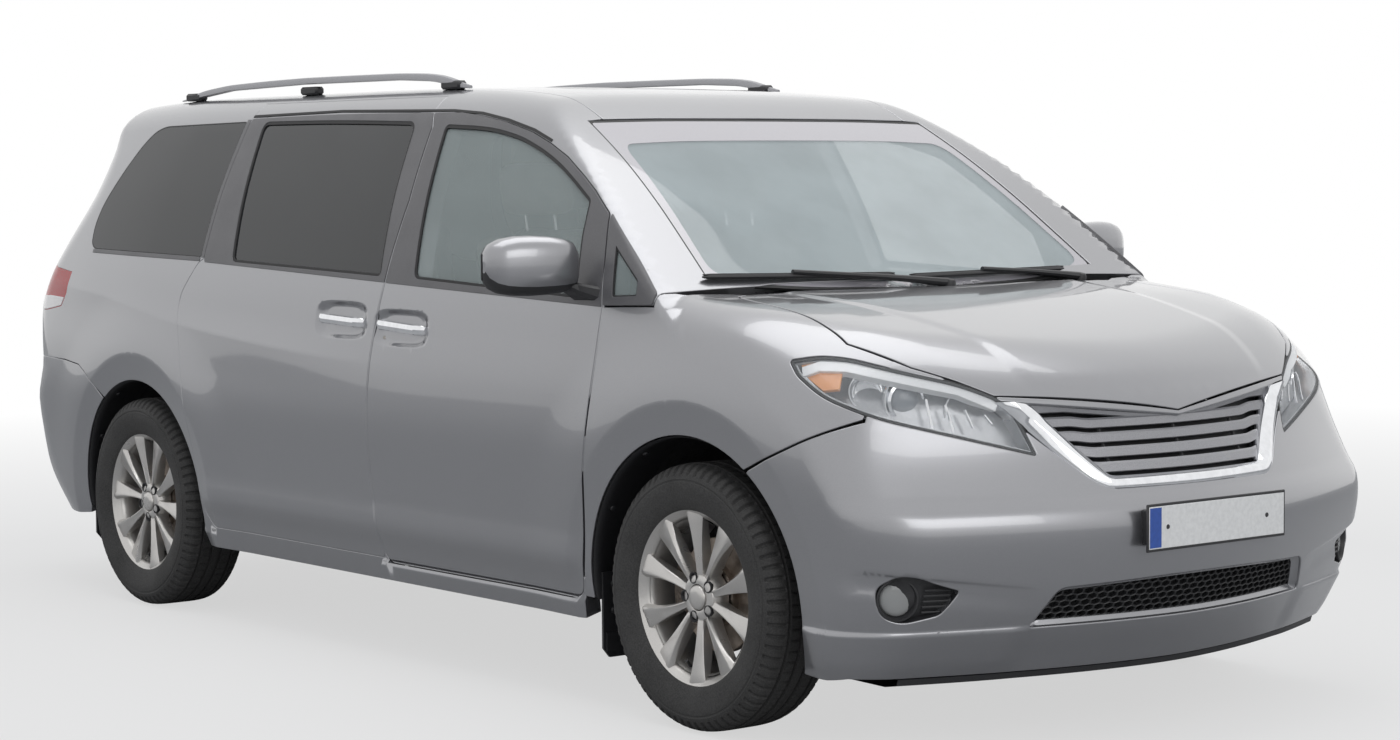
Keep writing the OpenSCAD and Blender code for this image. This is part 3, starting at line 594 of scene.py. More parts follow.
# ------------------------------------------------------------------ free shapes
class Shape:
    """Collects loose parts of one piece, in millimetres, before they become a mesh."""

    def __init__(self):
        self.points, self.faces, self.mats = [], [], []

    def add(self, points, faces, mat=0):
        start = len(self.points)
        self.points.extend(np.asarray(points, float).reshape(-1, 3).tolist())
        self.faces.extend([start + int(i) for i in f] for f in faces)
        self.mats.extend([mat] * len(faces))
        return self

    def grid(self, rows, mat=0, across=False, along=False, caps=False):
        """Skin over rows of points; across and along close it round that way."""
        rows = np.asarray(rows, float)
        n, m = rows.shape[:2]
        faces = [[i * m + j, i * m + (j + 1) % m, (i + 1) % n * m + (j + 1) % m, (i + 1) % n * m + j]
                 for i in range(n if along else n - 1) for j in range(m if across else m - 1)]
        if caps:
            faces += [list(range(m))[::-1], [(n - 1) * m + j for j in range(m)]]
        return self.add(rows, faces, mat)

    def lathe(self, profile, origin, axis, mat=0, steps=32):
        """Turns (radius, height) pairs round an axis."""
        axis = Vector(axis).normalized()
        across = axis.orthogonal().normalized()
        if abs(axis.y) > 0.99:
            across = Vector((1, 0, 0))
        other = axis.cross(across)
        a, u, v = (np.array(t[:]) for t in (axis, across, other))
        turns = np.linspace(0, 2 * math.pi, steps, endpoint=False)
        r, h = np.array(profile, float).T
        rows = (np.array(origin, float) + h[None, :, None] * a
                + r[None, :, None] * (np.cos(turns)[:, None, None] * u
                                      + np.sin(turns)[:, None, None] * v))
        return self.grid(rows, mat, along=True)

    def tube(self, path, radius, mat=0, sides=10, flat=1.0, caps=True):
        """Round bar along a path; radius may change along it."""
        path = np.asarray(path, float)
        radius = np.broadcast_to(radius, len(path))
        ahead = np.gradient(path, axis=0)
        ahead /= np.linalg.norm(ahead, axis=1, keepdims=True)
        up = np.array([0.0, 0.0, 1.0]) if abs(ahead[0][2]) < 0.9 else np.array([1.0, 0.0, 0.0])
        rows = []
        for p, d, r in zip(path, ahead, radius):
            side = np.cross(d, up)
            side /= np.linalg.norm(side)
            up = np.cross(side, d)
            t = np.linspace(0, 2 * math.pi, sides, endpoint=False)
            rows.append(p + r * (np.cos(t)[:, None] * side * flat + np.sin(t)[:, None] * up))
        return self.grid(rows, mat, across=True, caps=caps)

    def box(self, low, high, cut=3.0, mat=0):
        """Block with cut edges."""
        low, high = np.array(low, float), np.array(high, float)
        middle, half = (low + high) / 2, (high - low) / 2
        cut = min(cut, half.min() * 0.9)
        points, where = [], {}
        for sx in (-1, 1):
            for sy in (-1, 1):
                for sz in (-1, 1):
                    for axis in range(3):
                        q = half - cut
                        q[axis] = half[axis]
                        where[sx, sy, sz, axis] = len(points)
                        points.append(middle + q * (sx, sy, sz))
        faces = []
        for axis in range(3):
            b, c = [k for k in range(3) if k != axis]
            for s in (-1, 1):
                ring = []
                for tb, tc in ((-1, -1), (1, -1), (1, 1), (-1, 1)):
                    sign = [0, 0, 0]
                    sign[axis], sign[b], sign[c] = s, tb, tc
                    ring.append(where[(*sign, axis)])
                flip = (s < 0) != (axis == 1)
                faces.append(ring[::-1] if flip else ring)
            for sb in (-1, 1):
                for sc in (-1, 1):
                    ring = []
                    for s, face in ((-1, b), (1, b), (1, c), (-1, c)):
                        sign = [0, 0, 0]
                        sign[axis], sign[b], sign[c] = s, sb, sc
                        ring.append(where[(*sign, face)])
                    flip = (sb * sc < 0) != (axis == 1)
                    faces.append(ring if flip else ring[::-1])
        for sx in (-1, 1):
            for sy in (-1, 1):
                for sz in (-1, 1):
                    ring = [where[sx, sy, sz, k] for k in range(3)]
                    faces.append(ring if sx * sy * sz > 0 else ring[::-1])
        return self.add(points, faces, mat)

    def done(self, name, materials, sharp=38, merge=False):
        obj = build_mesh(name, self.points, self.faces, materials, self.mats)
        if merge:
            bm = bmesh.new()
            bm.from_mesh(obj.data)
            bmesh.ops.remove_doubles(bm, verts=bm.verts, dist=1e-5)
            bmesh.ops.recalc_face_normals(bm, faces=bm.faces)
            bm.to_mesh(obj.data)
            bm.free()
        obj.data.set_sharp_from_angle(angle=math.radians(sharp))
        return obj


def prism(outline, low, high, axis):
    """Points and faces of a flat outline pushed out between two levels of an axis."""
    outline = np.asarray(outline, float)
    n = len(outline)
    keys = [k for k in range(3) if k != axis]
    points = np.zeros((2 * n, 3))
    points[:n, keys], points[n:, keys] = outline, outline
    points[:n, axis], points[n:, axis] = low, high
    faces = [list(range(n))[::-1], list(range(n, 2 * n))]
    faces += [[i, (i + 1) % n, n + (i + 1) % n, n + i] for i in range(n)]
    return points, faces


def band(sheet, line, a, b):
    """Closed loop round the strip between two distances beside a line of points on the skin."""
    flat = sheet.flat(np.asarray(line, float))
    ahead = np.gradient(flat, axis=0)
    ahead /= np.maximum(np.linalg.norm(ahead, axis=1, keepdims=True), 1e-9)
    out = np.stack([ahead[:, 1], -ahead[:, 0]], axis=-1)
    return np.concatenate([flat + out * a, (flat + out * b)[::-1]])


# ------------------------------------------------------------------ materials
def new_material(name):
    material = bpy.data.materials.new(name)
    material.use_nodes = True
    return material, material.node_tree.nodes, material.node_tree.links


def set_shader(nodes, **values):
    shader = nodes["Principled BSDF"]
    for key, value in values.items():
        shader.inputs[key.replace("_", " ")].default_value = value
    return shader


def shade(color, factor):
    """The colour made lighter or darker, with its alpha."""
    return tuple(min(1, c * factor) for c in color) + (1,)


def noise_node(nodes, links, scale):
    coords = nodes.new("ShaderNodeTexCoord")
    noise = nodes.new("ShaderNodeTexNoise")
    noise.inputs["Scale"].default_value = scale
    noise.inputs["Detail"].default_value = 3.0
    links.new(coords.outputs["Object"], noise.inputs["Vector"])
    return noise


def ramp_node(nodes, links, source, low, high, a=0.35, b=0.65):
    ramp = nodes.new("ShaderNodeValToRGB")
    ramp.color_ramp.elements[0].position, ramp.color_ramp.elements[1].position = a, b
    ramp.color_ramp.elements[0].color, ramp.color_ramp.elements[1].color = low, high
    links.new(source, ramp.inputs["Fac"])
    return ramp


def base_color(nodes, links, output):
    links.new(output, nodes["Principled BSDF"].inputs["Base Color"])


def bump_node(nodes, links, source, strength, distance):
    bumps = nodes.new("ShaderNodeBump")
    bumps.inputs["Strength"].default_value = strength
    bumps.inputs["Distance"].default_value = distance
    links.new(source, bumps.inputs["Height"])
    links.new(bumps.outputs["Normal"], nodes["Principled BSDF"].inputs["Normal"])


def surface_material(name, color, roughness, metallic=0.0, grain=60.0, spread=0.12, bump_size=0.0,
                     wear=0.0, **more):
    """A material whose colour varies a little with a fine grain, and whose bump follows it.

    wear spreads the roughness in larger patches."""
    material, nodes, links = new_material(name)
    set_shader(nodes, Roughness=roughness, Metallic=metallic, **more)
    noise = noise_node(nodes, links, grain)
    ramp = ramp_node(nodes, links, noise.outputs["Fac"], shade(color, 1 - spread), shade(color, 1 + spread))
    base_color(nodes, links, ramp.outputs["Color"])
    if wear:
        patches = noise_node(nodes, links, 9.0)
        smoothest, roughest = max(roughness - wear, 0.02), min(roughness + wear, 1)
        spots = ramp_node(nodes, links, patches.outputs["Fac"], (smoothest,) * 3 + (1,),
                          (roughest,) * 3 + (1,))
        links.new(spots.outputs["Color"], nodes["Principled BSDF"].inputs["Roughness"])
    if bump_size:
        bump_node(nodes, links, noise.outputs["Fac"], 0.5, bump_size)
    return material


def glass_material(name, tint, alpha, **more):
    """Thin tinted pane: partly see-through, with the gloss of glass and the faintest haze; on the pale panes
    the colour is partly painted reflection of the sky.
    """
    material, nodes, links = new_material(name)
    set_shader(nodes, Alpha=alpha, IOR=1.5, Roughness=0.02, **more)
    haze = noise_node(nodes, links, 4.0)
    ramp = ramp_node(nodes, links, haze.outputs["Fac"], shade(tint, 0.94), shade(tint, 1.06))
    base_color(nodes, links, ramp.outputs["Color"])
    return material


THREAD_SCALE = 150.0


def woven_material(name, color):
    """Cloth: two crossed sets of fine threads, with soft shade patches."""
    material, nodes, links = new_material(name)
    set_shader(nodes, Roughness=0.9, Sheen_Weight=0.25)
    coords = nodes.new("ShaderNodeTexCoord")
    height = None
    for axis in ("X", "Y", "Z"):
        wave = nodes.new("ShaderNodeTexWave")
        wave.bands_direction = axis
        wave.inputs["Scale"].default_value = THREAD_SCALE
        wave.inputs["Distortion"].default_value = 0.6
        links.new(coords.outputs["Object"], wave.inputs["Vector"])
        if height is None:
            height = wave.outputs["Fac"]
        else:
            mix = nodes.new("ShaderNodeMath")
            mix.operation = "MULTIPLY" if axis == "Y" else "ADD"
            links.new(height, mix.inputs[0])
            links.new(wave.outputs["Fac"], mix.inputs[1])
            height = mix.outputs["Value"]
    threads = ramp_node(nodes, links, height, shade(color, 0.72), color + (1,), 0.0, 1.2)
    patches = noise_node(nodes, links, 14.0)
    tone = ramp_node(nodes, links, patches.outputs["Fac"], (0.88, 0.88, 0.88, 1), (1, 1, 1, 1))
    both = nodes.new("ShaderNodeMix")
    both.data_type, both.blend_type = "RGBA", "MULTIPLY"
    both.inputs["Factor"].default_value = 1.0
    links.new(threads.outputs["Color"], both.inputs["A"])
    links.new(tone.outputs["Color"], both.inputs["B"])
    base_color(nodes, links, both.outputs["Result"])
    bump_node(nodes, links, height, 0.5, 0.0006)
    return material


def ring_material(name, color, roughness, pitch):
    """Metal turned on a lathe round the wheel's axle: fine rings and patches of brown dust."""
    material, nodes, links = new_material(name)
    set_shader(nodes, Metallic=1.0, Roughness=roughness)
    noise = noise_node(nodes, links, 22.0)
    ramp = ramp_node(nodes, links, noise.outputs["Fac"], shade(color, 0.6), shade(color, 1.15))
    base_color(nodes, links, ramp.outputs["Color"])
    fine = noise_node(nodes, links, pitch)
    bump_node(nodes, links, fine.outputs["Fac"], 0.35, 0.0004)
    return material


PAINT = surface_material("silver_paint", (0.305, 0.307, 0.322), 0.30, 0.80, grain=1500, spread=0.10,
                         Coat_Weight=1.0, Coat_Roughness=0.04)
INNER = surface_material("cabin_trim", (0.42, 0.39, 0.35), 0.62, grain=300, spread=0.1, bump_size=0.0004)
BLACK = surface_material("black_plastic", (0.022, 0.022, 0.024), 0.5, grain=500, spread=0.25,
                         bump_size=0.0003)
TRIM = surface_material("dark_satin_trim", (0.115, 0.113, 0.118), 0.36, grain=350, spread=0.10,
                        wear=0.06)
SEAL = surface_material("seal_rubber", (0.012, 0.012, 0.013), 0.62, grain=700, spread=0.3, bump_size=0.0002)
CHROME = surface_material("bright_chrome", (0.80, 0.81, 0.83), 0.09, 1.0, grain=40, spread=0.04, wear=0.03)
SLAT = surface_material("grey_slat", (0.33, 0.33, 0.345), 0.34, 0.55, grain=500, spread=0.12)
ALLOY = surface_material("wheel_silver", (0.56, 0.545, 0.525), 0.33, 0.75, grain=900, spread=0.09,
                         wear=0.06, Coat_Weight=0.5, Coat_Roughness=0.1)
DISC = ring_material("brake_disc", (0.36, 0.31, 0.27), 0.42, 260.0)
IRON = surface_material("cast_iron", (0.15, 0.125, 0.105), 0.72, 0.6, grain=120, spread=0.4,
                        bump_size=0.0012)
TYRE = surface_material("tyre_rubber", (0.040, 0.039, 0.038), 0.78, grain=240, spread=0.28,
                        bump_size=0.0005, wear=0.08)
UNDER = surface_material("sealed_steel", (0.03, 0.03, 0.032), 0.75, 0.1, grain=90, spread=0.4,
                         bump_size=0.0015)
STEEL = surface_material("dull_steel", (0.42, 0.40, 0.37), 0.5, 0.9, grain=60, spread=0.3, wear=0.1,
                         bump_size=0.0004)
MIRROR = surface_material("reflector_mirror", (0.86, 0.87, 0.88), 0.12, 1.0, grain=30, spread=0.05, wear=0.04)
BUCKET = surface_material("lamp_housing", (0.42, 0.43, 0.445), 0.26, 0.5, grain=200, spread=0.1)
PALE = surface_material("lamp_eyebrow", (0.80, 0.80, 0.80), 0.25, 0.1, grain=300, spread=0.05)
AMBER = surface_material("amber_reflector", (0.80, 0.30, 0.06), 0.25, grain=700, spread=0.2,
                         bump_size=0.0006, Coat_Weight=0.6)
RED = surface_material("red_lens", (0.44, 0.008, 0.012), 0.22, grain=650, spread=0.30,
                       bump_size=0.0004, Coat_Weight=0.25, Coat_Roughness=0.04, Specular_IOR_Level=0.35)
FROST = surface_material("clear_ribbed_lens", (0.72, 0.70, 0.70), 0.16, grain=500, spread=0.14,
                         bump_size=0.0008, Coat_Weight=1.0)
WHITE = surface_material("plate_white", (0.78, 0.78, 0.77), 0.4, grain=80, spread=0.05)
BLUE = surface_material("plate_blue", (0.03, 0.09, 0.38), 0.4, grain=80, spread=0.08)
# Black printed border and the tinted band at the windshield's top: the lilac-grey is painted reflection of
# the sky over their own dark colour.
FRIT_WITH_PAINTED_SKY = surface_material("ceramic_border_painted_sky", (0.40, 0.385, 0.41), 0.2, grain=900, spread=0.12,
                        Coat_Weight=1.0, Coat_Roughness=0.02)
CARPET = surface_material("carpet", (0.16, 0.15, 0.14), 0.95, grain=800, spread=0.5, bump_size=0.003)
DASH = surface_material("dash_plastic", (0.13, 0.125, 0.12), 0.6, grain=420, spread=0.15, bump_size=0.0006)
LEATHER = surface_material("grained_leather", (0.10, 0.095, 0.09), 0.5, grain=260, spread=0.2,
                           bump_size=0.0009)
FABRIC = woven_material("woven_beige", (0.50, 0.46, 0.41))
SCREEN = surface_material("dark_screen", (0.01, 0.012, 0.015), 0.12, grain=20, spread=0.3)
# Pale, partly opaque panes: their colour is partly the glass's green tint and partly painted reflection of
# the sky.
CLEAR_GLASS = glass_material("clear_glass", (0.46, 0.53, 0.52), 0.38)
SHIELD_GLASS = glass_material("shield_glass", (0.52, 0.59, 0.60), 0.48)
FOG_LENS = glass_material("fog_lens", (0.62, 0.63, 0.62), 0.5, Coat_Weight=0.6)
LENS = glass_material("lamp_lens", (0.75, 0.78, 0.80), 0.10, Coat_Weight=0.6)
DARK_GLASS = glass_material("privacy_glass", (0.022, 0.024, 0.026), 0.93)
GAP = 4.5


def panel(name, sheet, loops, body, slot, nodes, materials, grow, **shape):
    """A skin panel on the body that carries it, with the CAD nodes that it stands for."""
    obj = skin_panel(name, sheet, loops, list(materials), grow=grow, **shape)
    return ride(obj, body, slot, *nodes)


def strip(name, sheet, flat_loop, body, slot, material, **shape):
    """A narrow piece on the skin, given by a loop that band() made."""
    obj = skin_panel(name, FlatLoop(sheet), [flat_loop], [material], grow=[0], **shape)
    return ride(obj, body, slot)


class FlatLoop:
    """Lets skin_panel take a loop that is already in a sheet's flat coordinates."""

    def __init__(self, sheet):
        self.sheet = sheet

    def flat(self, p):
        return p if p.shape[-1] == 2 else self.sheet.flat(p)

    def place(self, uv, depth=0.0):
        return self.sheet.place(uv, depth)


# ------------------------------------------------------------------ body sides
def crease_points(side):
    """Extra points along the creases and round the handle cups of one side."""
    lines = []
    for x0, x1, level in ((-980, 1100, 425), (-980, 1100, 306), (-980, 1100, 318)):
        lines.append([(x, level) for x in np.arange(x0, x1, 16)])
    for shift in (-9, 0, 9):
        lines.append([(x, float(smooth(x, WAIST)) + shift) for x in np.arange(-2240, 300, 16)])
    for axle, radius in ((FRONT_AXLE, FRONT_ARCH), (REAR_AXLE, REAR_ARCH)):
        for r in (78, 88, 98):
            lines.append([(axle + (radius + r) * math.cos(t), AXLE_Z + (radius + r) * math.sin(t))
                          for t in np.linspace(-0.1, math.pi + 0.1, 110)])
    for cx, cz, hx, hz in CUPS:
        for scale in (0.3, 0.5, 0.66, 0.78, 0.88, 0.97, 1.05):
            t = np.linspace(0, 2 * math.pi, 56, endpoint=False)
            c, s = np.cos(t), np.sin(t)
            k = scale / (c ** 4 + s ** 4) ** 0.25
            lines.append(list(zip(cx + hx * k * c, cz + hz * k * s)))
    return on_side(np.concatenate([np.array(line) for line in lines]), side)


def seal_ring(name, sheet, loop, body, inner, outer, depth=0.0):
    """A thin seal round a loop, between two distances outside it."""
    obj = skin_panel(name, sheet, [loop, loop], [SEAL], grow=[outer, inner], depth=depth,
                     thick=6, edge=1, spacing=90, back=False)
    return ride(obj, body, "black_rubber")


def make_front_door(side, word, sheet, door, window, creases):
    """Painted shell, dark window frame, seal and glass."""
    body = f"front_door_{word}"
    panel(f"front_door_{word}_shell", sheet, [door, window], body, "body_paint",
          [f"front_door_{word}"], (PAINT, INNER), [-2.5, 5], thick=66, spacing=30, creases=creases)
    panel(f"front_door_{word}_frame", sheet, [side_loop(DOOR_FRAME, side), window], body, "grey_trim",
          (), (TRIM,), [-1.6, 1.5], depth=-2.5, thick=12, edge=1.5, spacing=30, back=False)
    seal_ring(f"front_door_{word}_glass_seal", sheet, window, body, -7, 3, -0.5)
    panel(f"front_door_{word}_pane", sheet, [window], body, "clear_glass",
          [f"door_glass_{word}"], (CLEAR_GLASS,), [5], depth=5, thick=4.5, edge=0, spacing=60)


def make_sliding_door(side, word, sheet, slider, pane, creases):
    """Painted shell, window frame, the post behind it, seal and glass."""
    panel(f"sliding_door_{word}_shell", sheet, [slider, pane], "root", "body_paint",
          [f"sliding_door_{word}"], (PAINT, INNER), [-2.5, 5], thick=66, spacing=30, creases=creases)
    panel(f"sliding_door_{word}_frame", sheet, [side_loop(SLIDING_FRAME, side), pane], "root",
          "grey_trim", (), (TRIM,), [-1.6, 1.5], depth=-2.5, thick=12, edge=1.5, spacing=30, back=False)
    post = side_loop([(-1059, 1206), (-1043, 1206), (-1055, 1662), (-1074, 1662)], side)
    panel(f"quarter_post_{word}", sheet, [post], "root", "grey_trim", (), (TRIM,), [0], depth=-1.5,
          thick=10, edge=1.5, spacing=40, back=False)
    seal_ring(f"sliding_door_{word}_glass_seal", sheet, pane, "root", -7, 3, -0.5)
    panel(f"sliding_door_{word}_pane", sheet, [pane], "root", "privacy_glass",
          ["side_glass"], (DARK_GLASS,), [5], depth=4, thick=4.5, edge=0, spacing=60)


def make_rear_side_windows(side, word, sheet, quarter, corner):
    """The quarter window behind the sliding door, and the small one before the front door."""
    panel(f"quarter_pane_{word}", sheet, [quarter], "root", "privacy_glass", ["side_glass"],
          (DARK_GLASS,), [-1], depth=0.5, thick=5, edge=1.5, spacing=60)
    seal_ring(f"quarter_pane_{word}_seal", sheet, quarter, "root", -1.5, 4, 0.2)
    panel(f"corner_frame_{word}", sheet, [side_loop(CORNER_FRAME, side), corner], "root", "grey_trim",
          (), (TRIM,), [0, 0], depth=-4, thick=14, edge=1.5, spacing=16, back=False)
    panel(f"corner_pane_{word}", sheet, [corner], "root", "clear_glass", ["side_glass"],
          (CLEAR_GLASS,), [3], depth=3, thick=4.5, edge=0, spacing=50)
    seal_ring(f"corner_pane_{word}_seal", sheet, corner, "root", -5, 1.5, -1)


def make_side_strips(side, word, sheet):
    """Belt strip, roof seal and the ledge along the sill."""
    strip(f"belt_{word}", sheet, band(sheet, on_side(dense([(-1866, 1214), (-1068, 1200)], 30, False),
          side), 5, -5), "root", "grey_trim", TRIM, depth=-2, thick=6, edge=2, spacing=60)
    over = on_side(dense([(729, 1571), (621, 1603),
                          (465, 1635), (311, 1658), (150, 1669), (-500, 1680), (-1048, 1673)], 16, False),
                   side)
    strip(f"roof_seal_{word}", sheet, band(sheet, over, 3.2, -3.2), "root", "black_rubber", SEAL,
          depth=-2, thick=9, edge=1, spacing=16, edge_spacing=8)
    ledge = side_loop([(1086, 299), (-966, 299), (-966, 314), (1086, 314)], side)
    panel(f"sill_ledge_{word}", sheet, [ledge], "root", "body_paint", (), (PAINT,), [0], depth=9,
          thick=8, edge=0, spacing=40, back=False)


def make_side_frame(side, word, door_and_window_holes, creases):
    """Pillars, roof edge, sill and rear quarter in one panel, with holes for doors, glass and lamp."""
    frame_outline = np.concatenate([
        on_side(dense([(1092, 250), (-1005, 250)], 40, closed=False), side),
        on_side([(REAR_AXLE + REAR_ARCH * math.cos(t), AXLE_Z + REAR_ARCH * math.sin(t))
                 for t in np.linspace(-0.2, math.pi - 0.98, 40)][1:], side),
        on_side([p[:2] for p in REAR_SEAM[1:]], side) + [0, 0, 4.5],
        on_front(dense([(side * 860, 826), (side * 699, 812)], 30, closed=False), -1),
        on_front([(side * (y + 8), z) for y, z in ((716, 1000), (728, 1190), (700, 1400),
                                                   (655, 1600))], -1),
        on_top(dense([(-1995, side * 640), (-1995, side * 603), (-1500, side * 604),
                      (400, side * 606), (620, side * 598)], 40, closed=False)),
        on_front([(side * 597, 1636)]),
        on_front(dense([(side * 655, 1631), (side * 750, 1190)], 20, closed=False)),
        on_side([(1440, 1190), (1414, 1158), (1410, 1127), (1196, 1120), (1150, 700), (1112, 414)],
                side)])
    loops = [frame_outline, *door_and_window_holes, tail_lamp_loop(side)]
    panel(f"side_frame_{word}_shell", AroundRear(side), loops, "root", "body_paint",
          [f"side_frame_{word}"], (PAINT, INNER), [0, 3.5, 2, 2.5, 3, 1], thick=60, spacing=26,
          creases=creases)


def make_fender(side, word, creases):
    """Front fender, from the door to the bumper and up to the hood."""
    fender_outline = np.concatenate([
        on_side(dense([(1098, 311), (1118, 414), (1171, 860), (1194, 1115)], 30, closed=False), side),
        on_side([(1415, 1122), (1420, 1156)], side),
        on_top([(1446, side * 815), (1470, side * 742), (1500, side * 700)]),
        on_top(dense([(1520, side * 700), (2080, side * 690)], 30, closed=False)),
        on_front([(side * 742, 1004), (side * 800, 960)]),
        on_side([(2160, 861), (1790, 708), (1700, 560), (1500, 560), (1300, 311)], side)])
    loops = [fender_outline, arch_loop(FRONT_AXLE, FRONT_ARCH, side), HOOD_LOOP, LAMP_LOOPS[side]]
    panel(f"front_fender_{word}", FromPoint((1500, 0, 650), "z"), loops, "root", "body_paint",
          ["front_fenders"], (PAINT, BLACK), [-2.5, 2.5, GAP, 4.5], thick=24, spacing=24,
          creases=creases)


def make_sides():
    for side, word in SIDES:
        sheet = AlongCar(side)
        creases = crease_points(side)
        door, window, slider, pane, quarter, corner = (
            side_loop(outline, side) for outline in (FRONT_DOOR, FRONT_WINDOW, SLIDING_DOOR, SLIDING_WINDOW,
                                                     QUARTER_WINDOW, CORNER_WINDOW))
        make_front_door(side, word, sheet, door, window, creases)
        make_sliding_door(side, word, sheet, slider, pane, creases)
        make_rear_side_windows(side, word, sheet, quarter, corner)
        make_side_strips(side, word, sheet)
        make_side_frame(side, word, (door, slider, quarter, corner), creases)
        make_fender(side, word, creases)


def tail_lamp_loop(side):
    """The rear lamp's outline: over the side, round the corner and up to the tailgate."""
    return np.concatenate([
        on_side(dense([(-2012, 1138), (-2035, 1060), (-2078, 1012)], 16, False), side),
        on_side(dense([(-2081, 1011), (-2200, 995)], 16, False), side),
        on_side([(-2240, 992)], side),
        on_front(dense([(side * 800, 985), (side * 738, 985), (side * 742, 1100), (side * 738, 1200),
                        (side * 800, 1206)], 16, False), -1),
        on_side([(-2215, 1188)], side), on_side([(-2180, 1158)], side),
        on_side(dense([(-2160, 1152), (-2030, 1139)], 16, False), side)])


# ------------------------------------------------------------------ hood, front bumper, windshield, roof
FOG_HOLE = [(912, 418, 30), (905, 458, 30), (872, 482, 30), (838, 478, 20), (790, 462, 20), (724, 440, 8),
            (722, 428, 6), (758, 372, 14), (800, 362, 30), (846, 352, 30), (890, 370, 30)]
NOSE_SHEET = FromPoint((1500, 0, 600), "z")


def make_hood():
    """The hood, finer along its two ridges."""
    hood_creases = []
    for side in (RIGHT, LEFT):
        for shift in (-22, -8, 6, 20, 34):
            hood_creases += [(x, side * (hood_ridge(x) + shift)) for x in np.arange(1500, 2400, 20)]
    panel("hood_shell", FromPoint((1300, 0, 300), "y"), [HOOD_LOOP], "hood", "body_paint", ["hood"],
          (PAINT, BLACK), [-2.5], thick=24, spacing=26, creases=on_top(hood_creases))


def make_front_bumper(fog, lower):
    """Bumper skin, with holes for the arches, hood, lamps, grilles and fog lamps."""
    bumper_outline = np.concatenate([
        on_front(dense([(-900, 207), (900, 207)], 30, closed=False)),
        on_side([(1905, 207), (1850, 400), (1797, 702)], LEFT),
        on_side(dense([(1797, 702), (2164, 855)], 30, closed=False), LEFT),
        on_front(dense([(830, 930), (795, 968), (735, 1012), (-735, 1012), (-795, 968), (-830, 930)], 40,
                       closed=False)),
        on_side(dense([(2164, 855), (1797, 702)], 30, closed=False), RIGHT),
        on_side([(1850, 400), (1905, 207)], RIGHT)])
    creases = np.concatenate([crease_points(RIGHT), crease_points(LEFT)]
                             + [on_front([(side * v, fog_line(v) + d) for v in range(510, 930, 11)])
                                for side in (RIGHT, LEFT) for d in (-75, -50, -25, -15, -7, -1, 4, 14)]
                             + [on_front([(side * v, z) for v in range(480, 930, 12)])
                                for side in (RIGHT, LEFT) for z in (318, 325, 331, 338)]
                             + [on_side([(x, z) for x in range(1950, 2270, 12)], side)
                                for side in (RIGHT, LEFT) for z in (318, 325, 331, 338)])
    creases = creases[creases[:, 0] > 1800]
    loops = [bumper_outline, arch_loop(FRONT_AXLE, FRONT_ARCH, RIGHT),
             arch_loop(FRONT_AXLE, FRONT_ARCH, LEFT), HOOD_LOOP, LAMP_LOOPS[RIGHT], LAMP_LOOPS[LEFT],
             GRILLE_LOOP, lower, fog[RIGHT], fog[LEFT]]
    panel("front_bumper_shell", NOSE_SHEET, loops, "root", "body_paint", ["front_bumper"], (PAINT, BLACK),
          [-2.5, 2.5, 2.5, GAP, 4.5, 4.5, 1, 2.5, 0, 0], thick=24, spacing=20, edge=4, creases=creases)


def make_windshield():
    """Glass, its printed border and the seal round it."""
    panel("windshield_pane", FromAbove(), [SHIELD_LOOP], "root", "clear_glass", ["windshield"],
          (SHIELD_GLASS,), [0], depth=4, thick=5, edge=0, spacing=36)
    inner = on_front(dense(rounded(mirrored([(0, 1574, 200), (400, 1572, 100), (624, 1563, 40),
                                             (714, 1212, 30), (650, 1190, 40), (400, 1176, 100),
                                             (0, 1168, 100)])), 24))
    # The border's lilac-grey colour is painted reflection of the sky over the black print and the top band's
    # tint.
    panel("windshield_border", FromAbove(), [SHIELD_LOOP, inner], "root", "clear_glass", (), (FRIT_WITH_PAINTED_SKY,),
          [-1, 0], depth=2.8, thick=1, edge=0, spacing=24, back=False)
    seal_ring("windshield_seal", FromAbove(), SHIELD_LOOP, "root", -3, 7, 2.4)


def make_roof():
    """Roof skin round the sunroof, with the glass and its seal."""
    roof_outline = np.concatenate([
        on_top(dense([(620, -594), (400, -600), (-1995, -596), (-1995, 596), (400, 600), (620, 594)], 40,
                     closed=False)),
        on_front(dense([(592, 1635), (400, 1638.5), (0, 1640), (-400, 1638.5), (-592, 1635)], 30,
                       closed=False))])
    sunroof = on_top(dense(rounded([(330, 400), (-250, 400), (-250, -400), (330, -400)], 60), 20))
    panel("roof_shell", FromAbove(), [roof_outline, sunroof], "root", "body_paint", ["roof_panel"],
          (PAINT, INNER), [-2, 2.5], thick=5, spacing=40)
    panel("sunroof_pane", FromAbove(), [sunroof], "root", "privacy_glass", ["sunroof_glass"],
          (DARK_GLASS,), [-6], depth=1, thick=8, edge=2, spacing=50)
    seal_ring("sunroof_seal", FromAbove(), sunroof, "root", -6, 2.4, 0)


# ------------------------------------------------------------------ rear: tailgate, lamps, bumper
BACK_SHEET = FromPoint((-1300, 0, 1000), "y", -1)
REAR_BUMPER_SHEET = FromPoint((-1400, 0, 560), "z", -1)
TAIL_LAMP_SHEET = FromPoint((-1700, 0, 1080), "z", -1)


def gate_loop():
    """The tailgate's outline, up the rear face to the roof's edge."""
    half = dense(rounded([(0, 802), (690, 802, 25), (716, 1000, 30), (728, 1190, 60), (700, 1400, 100),
                          (655, 1600, 40), (636, 1676)]), 25, closed=False)
    right = on_front([(-y, z) for y, z in half[1:]], -1)
    left = on_front([(y, z) for y, z in half[::-1]], -1)
    top = on_top(dense([(-2004, -618), (-2004, 618)], 40, closed=False))
    return np.concatenate([right, top, left])


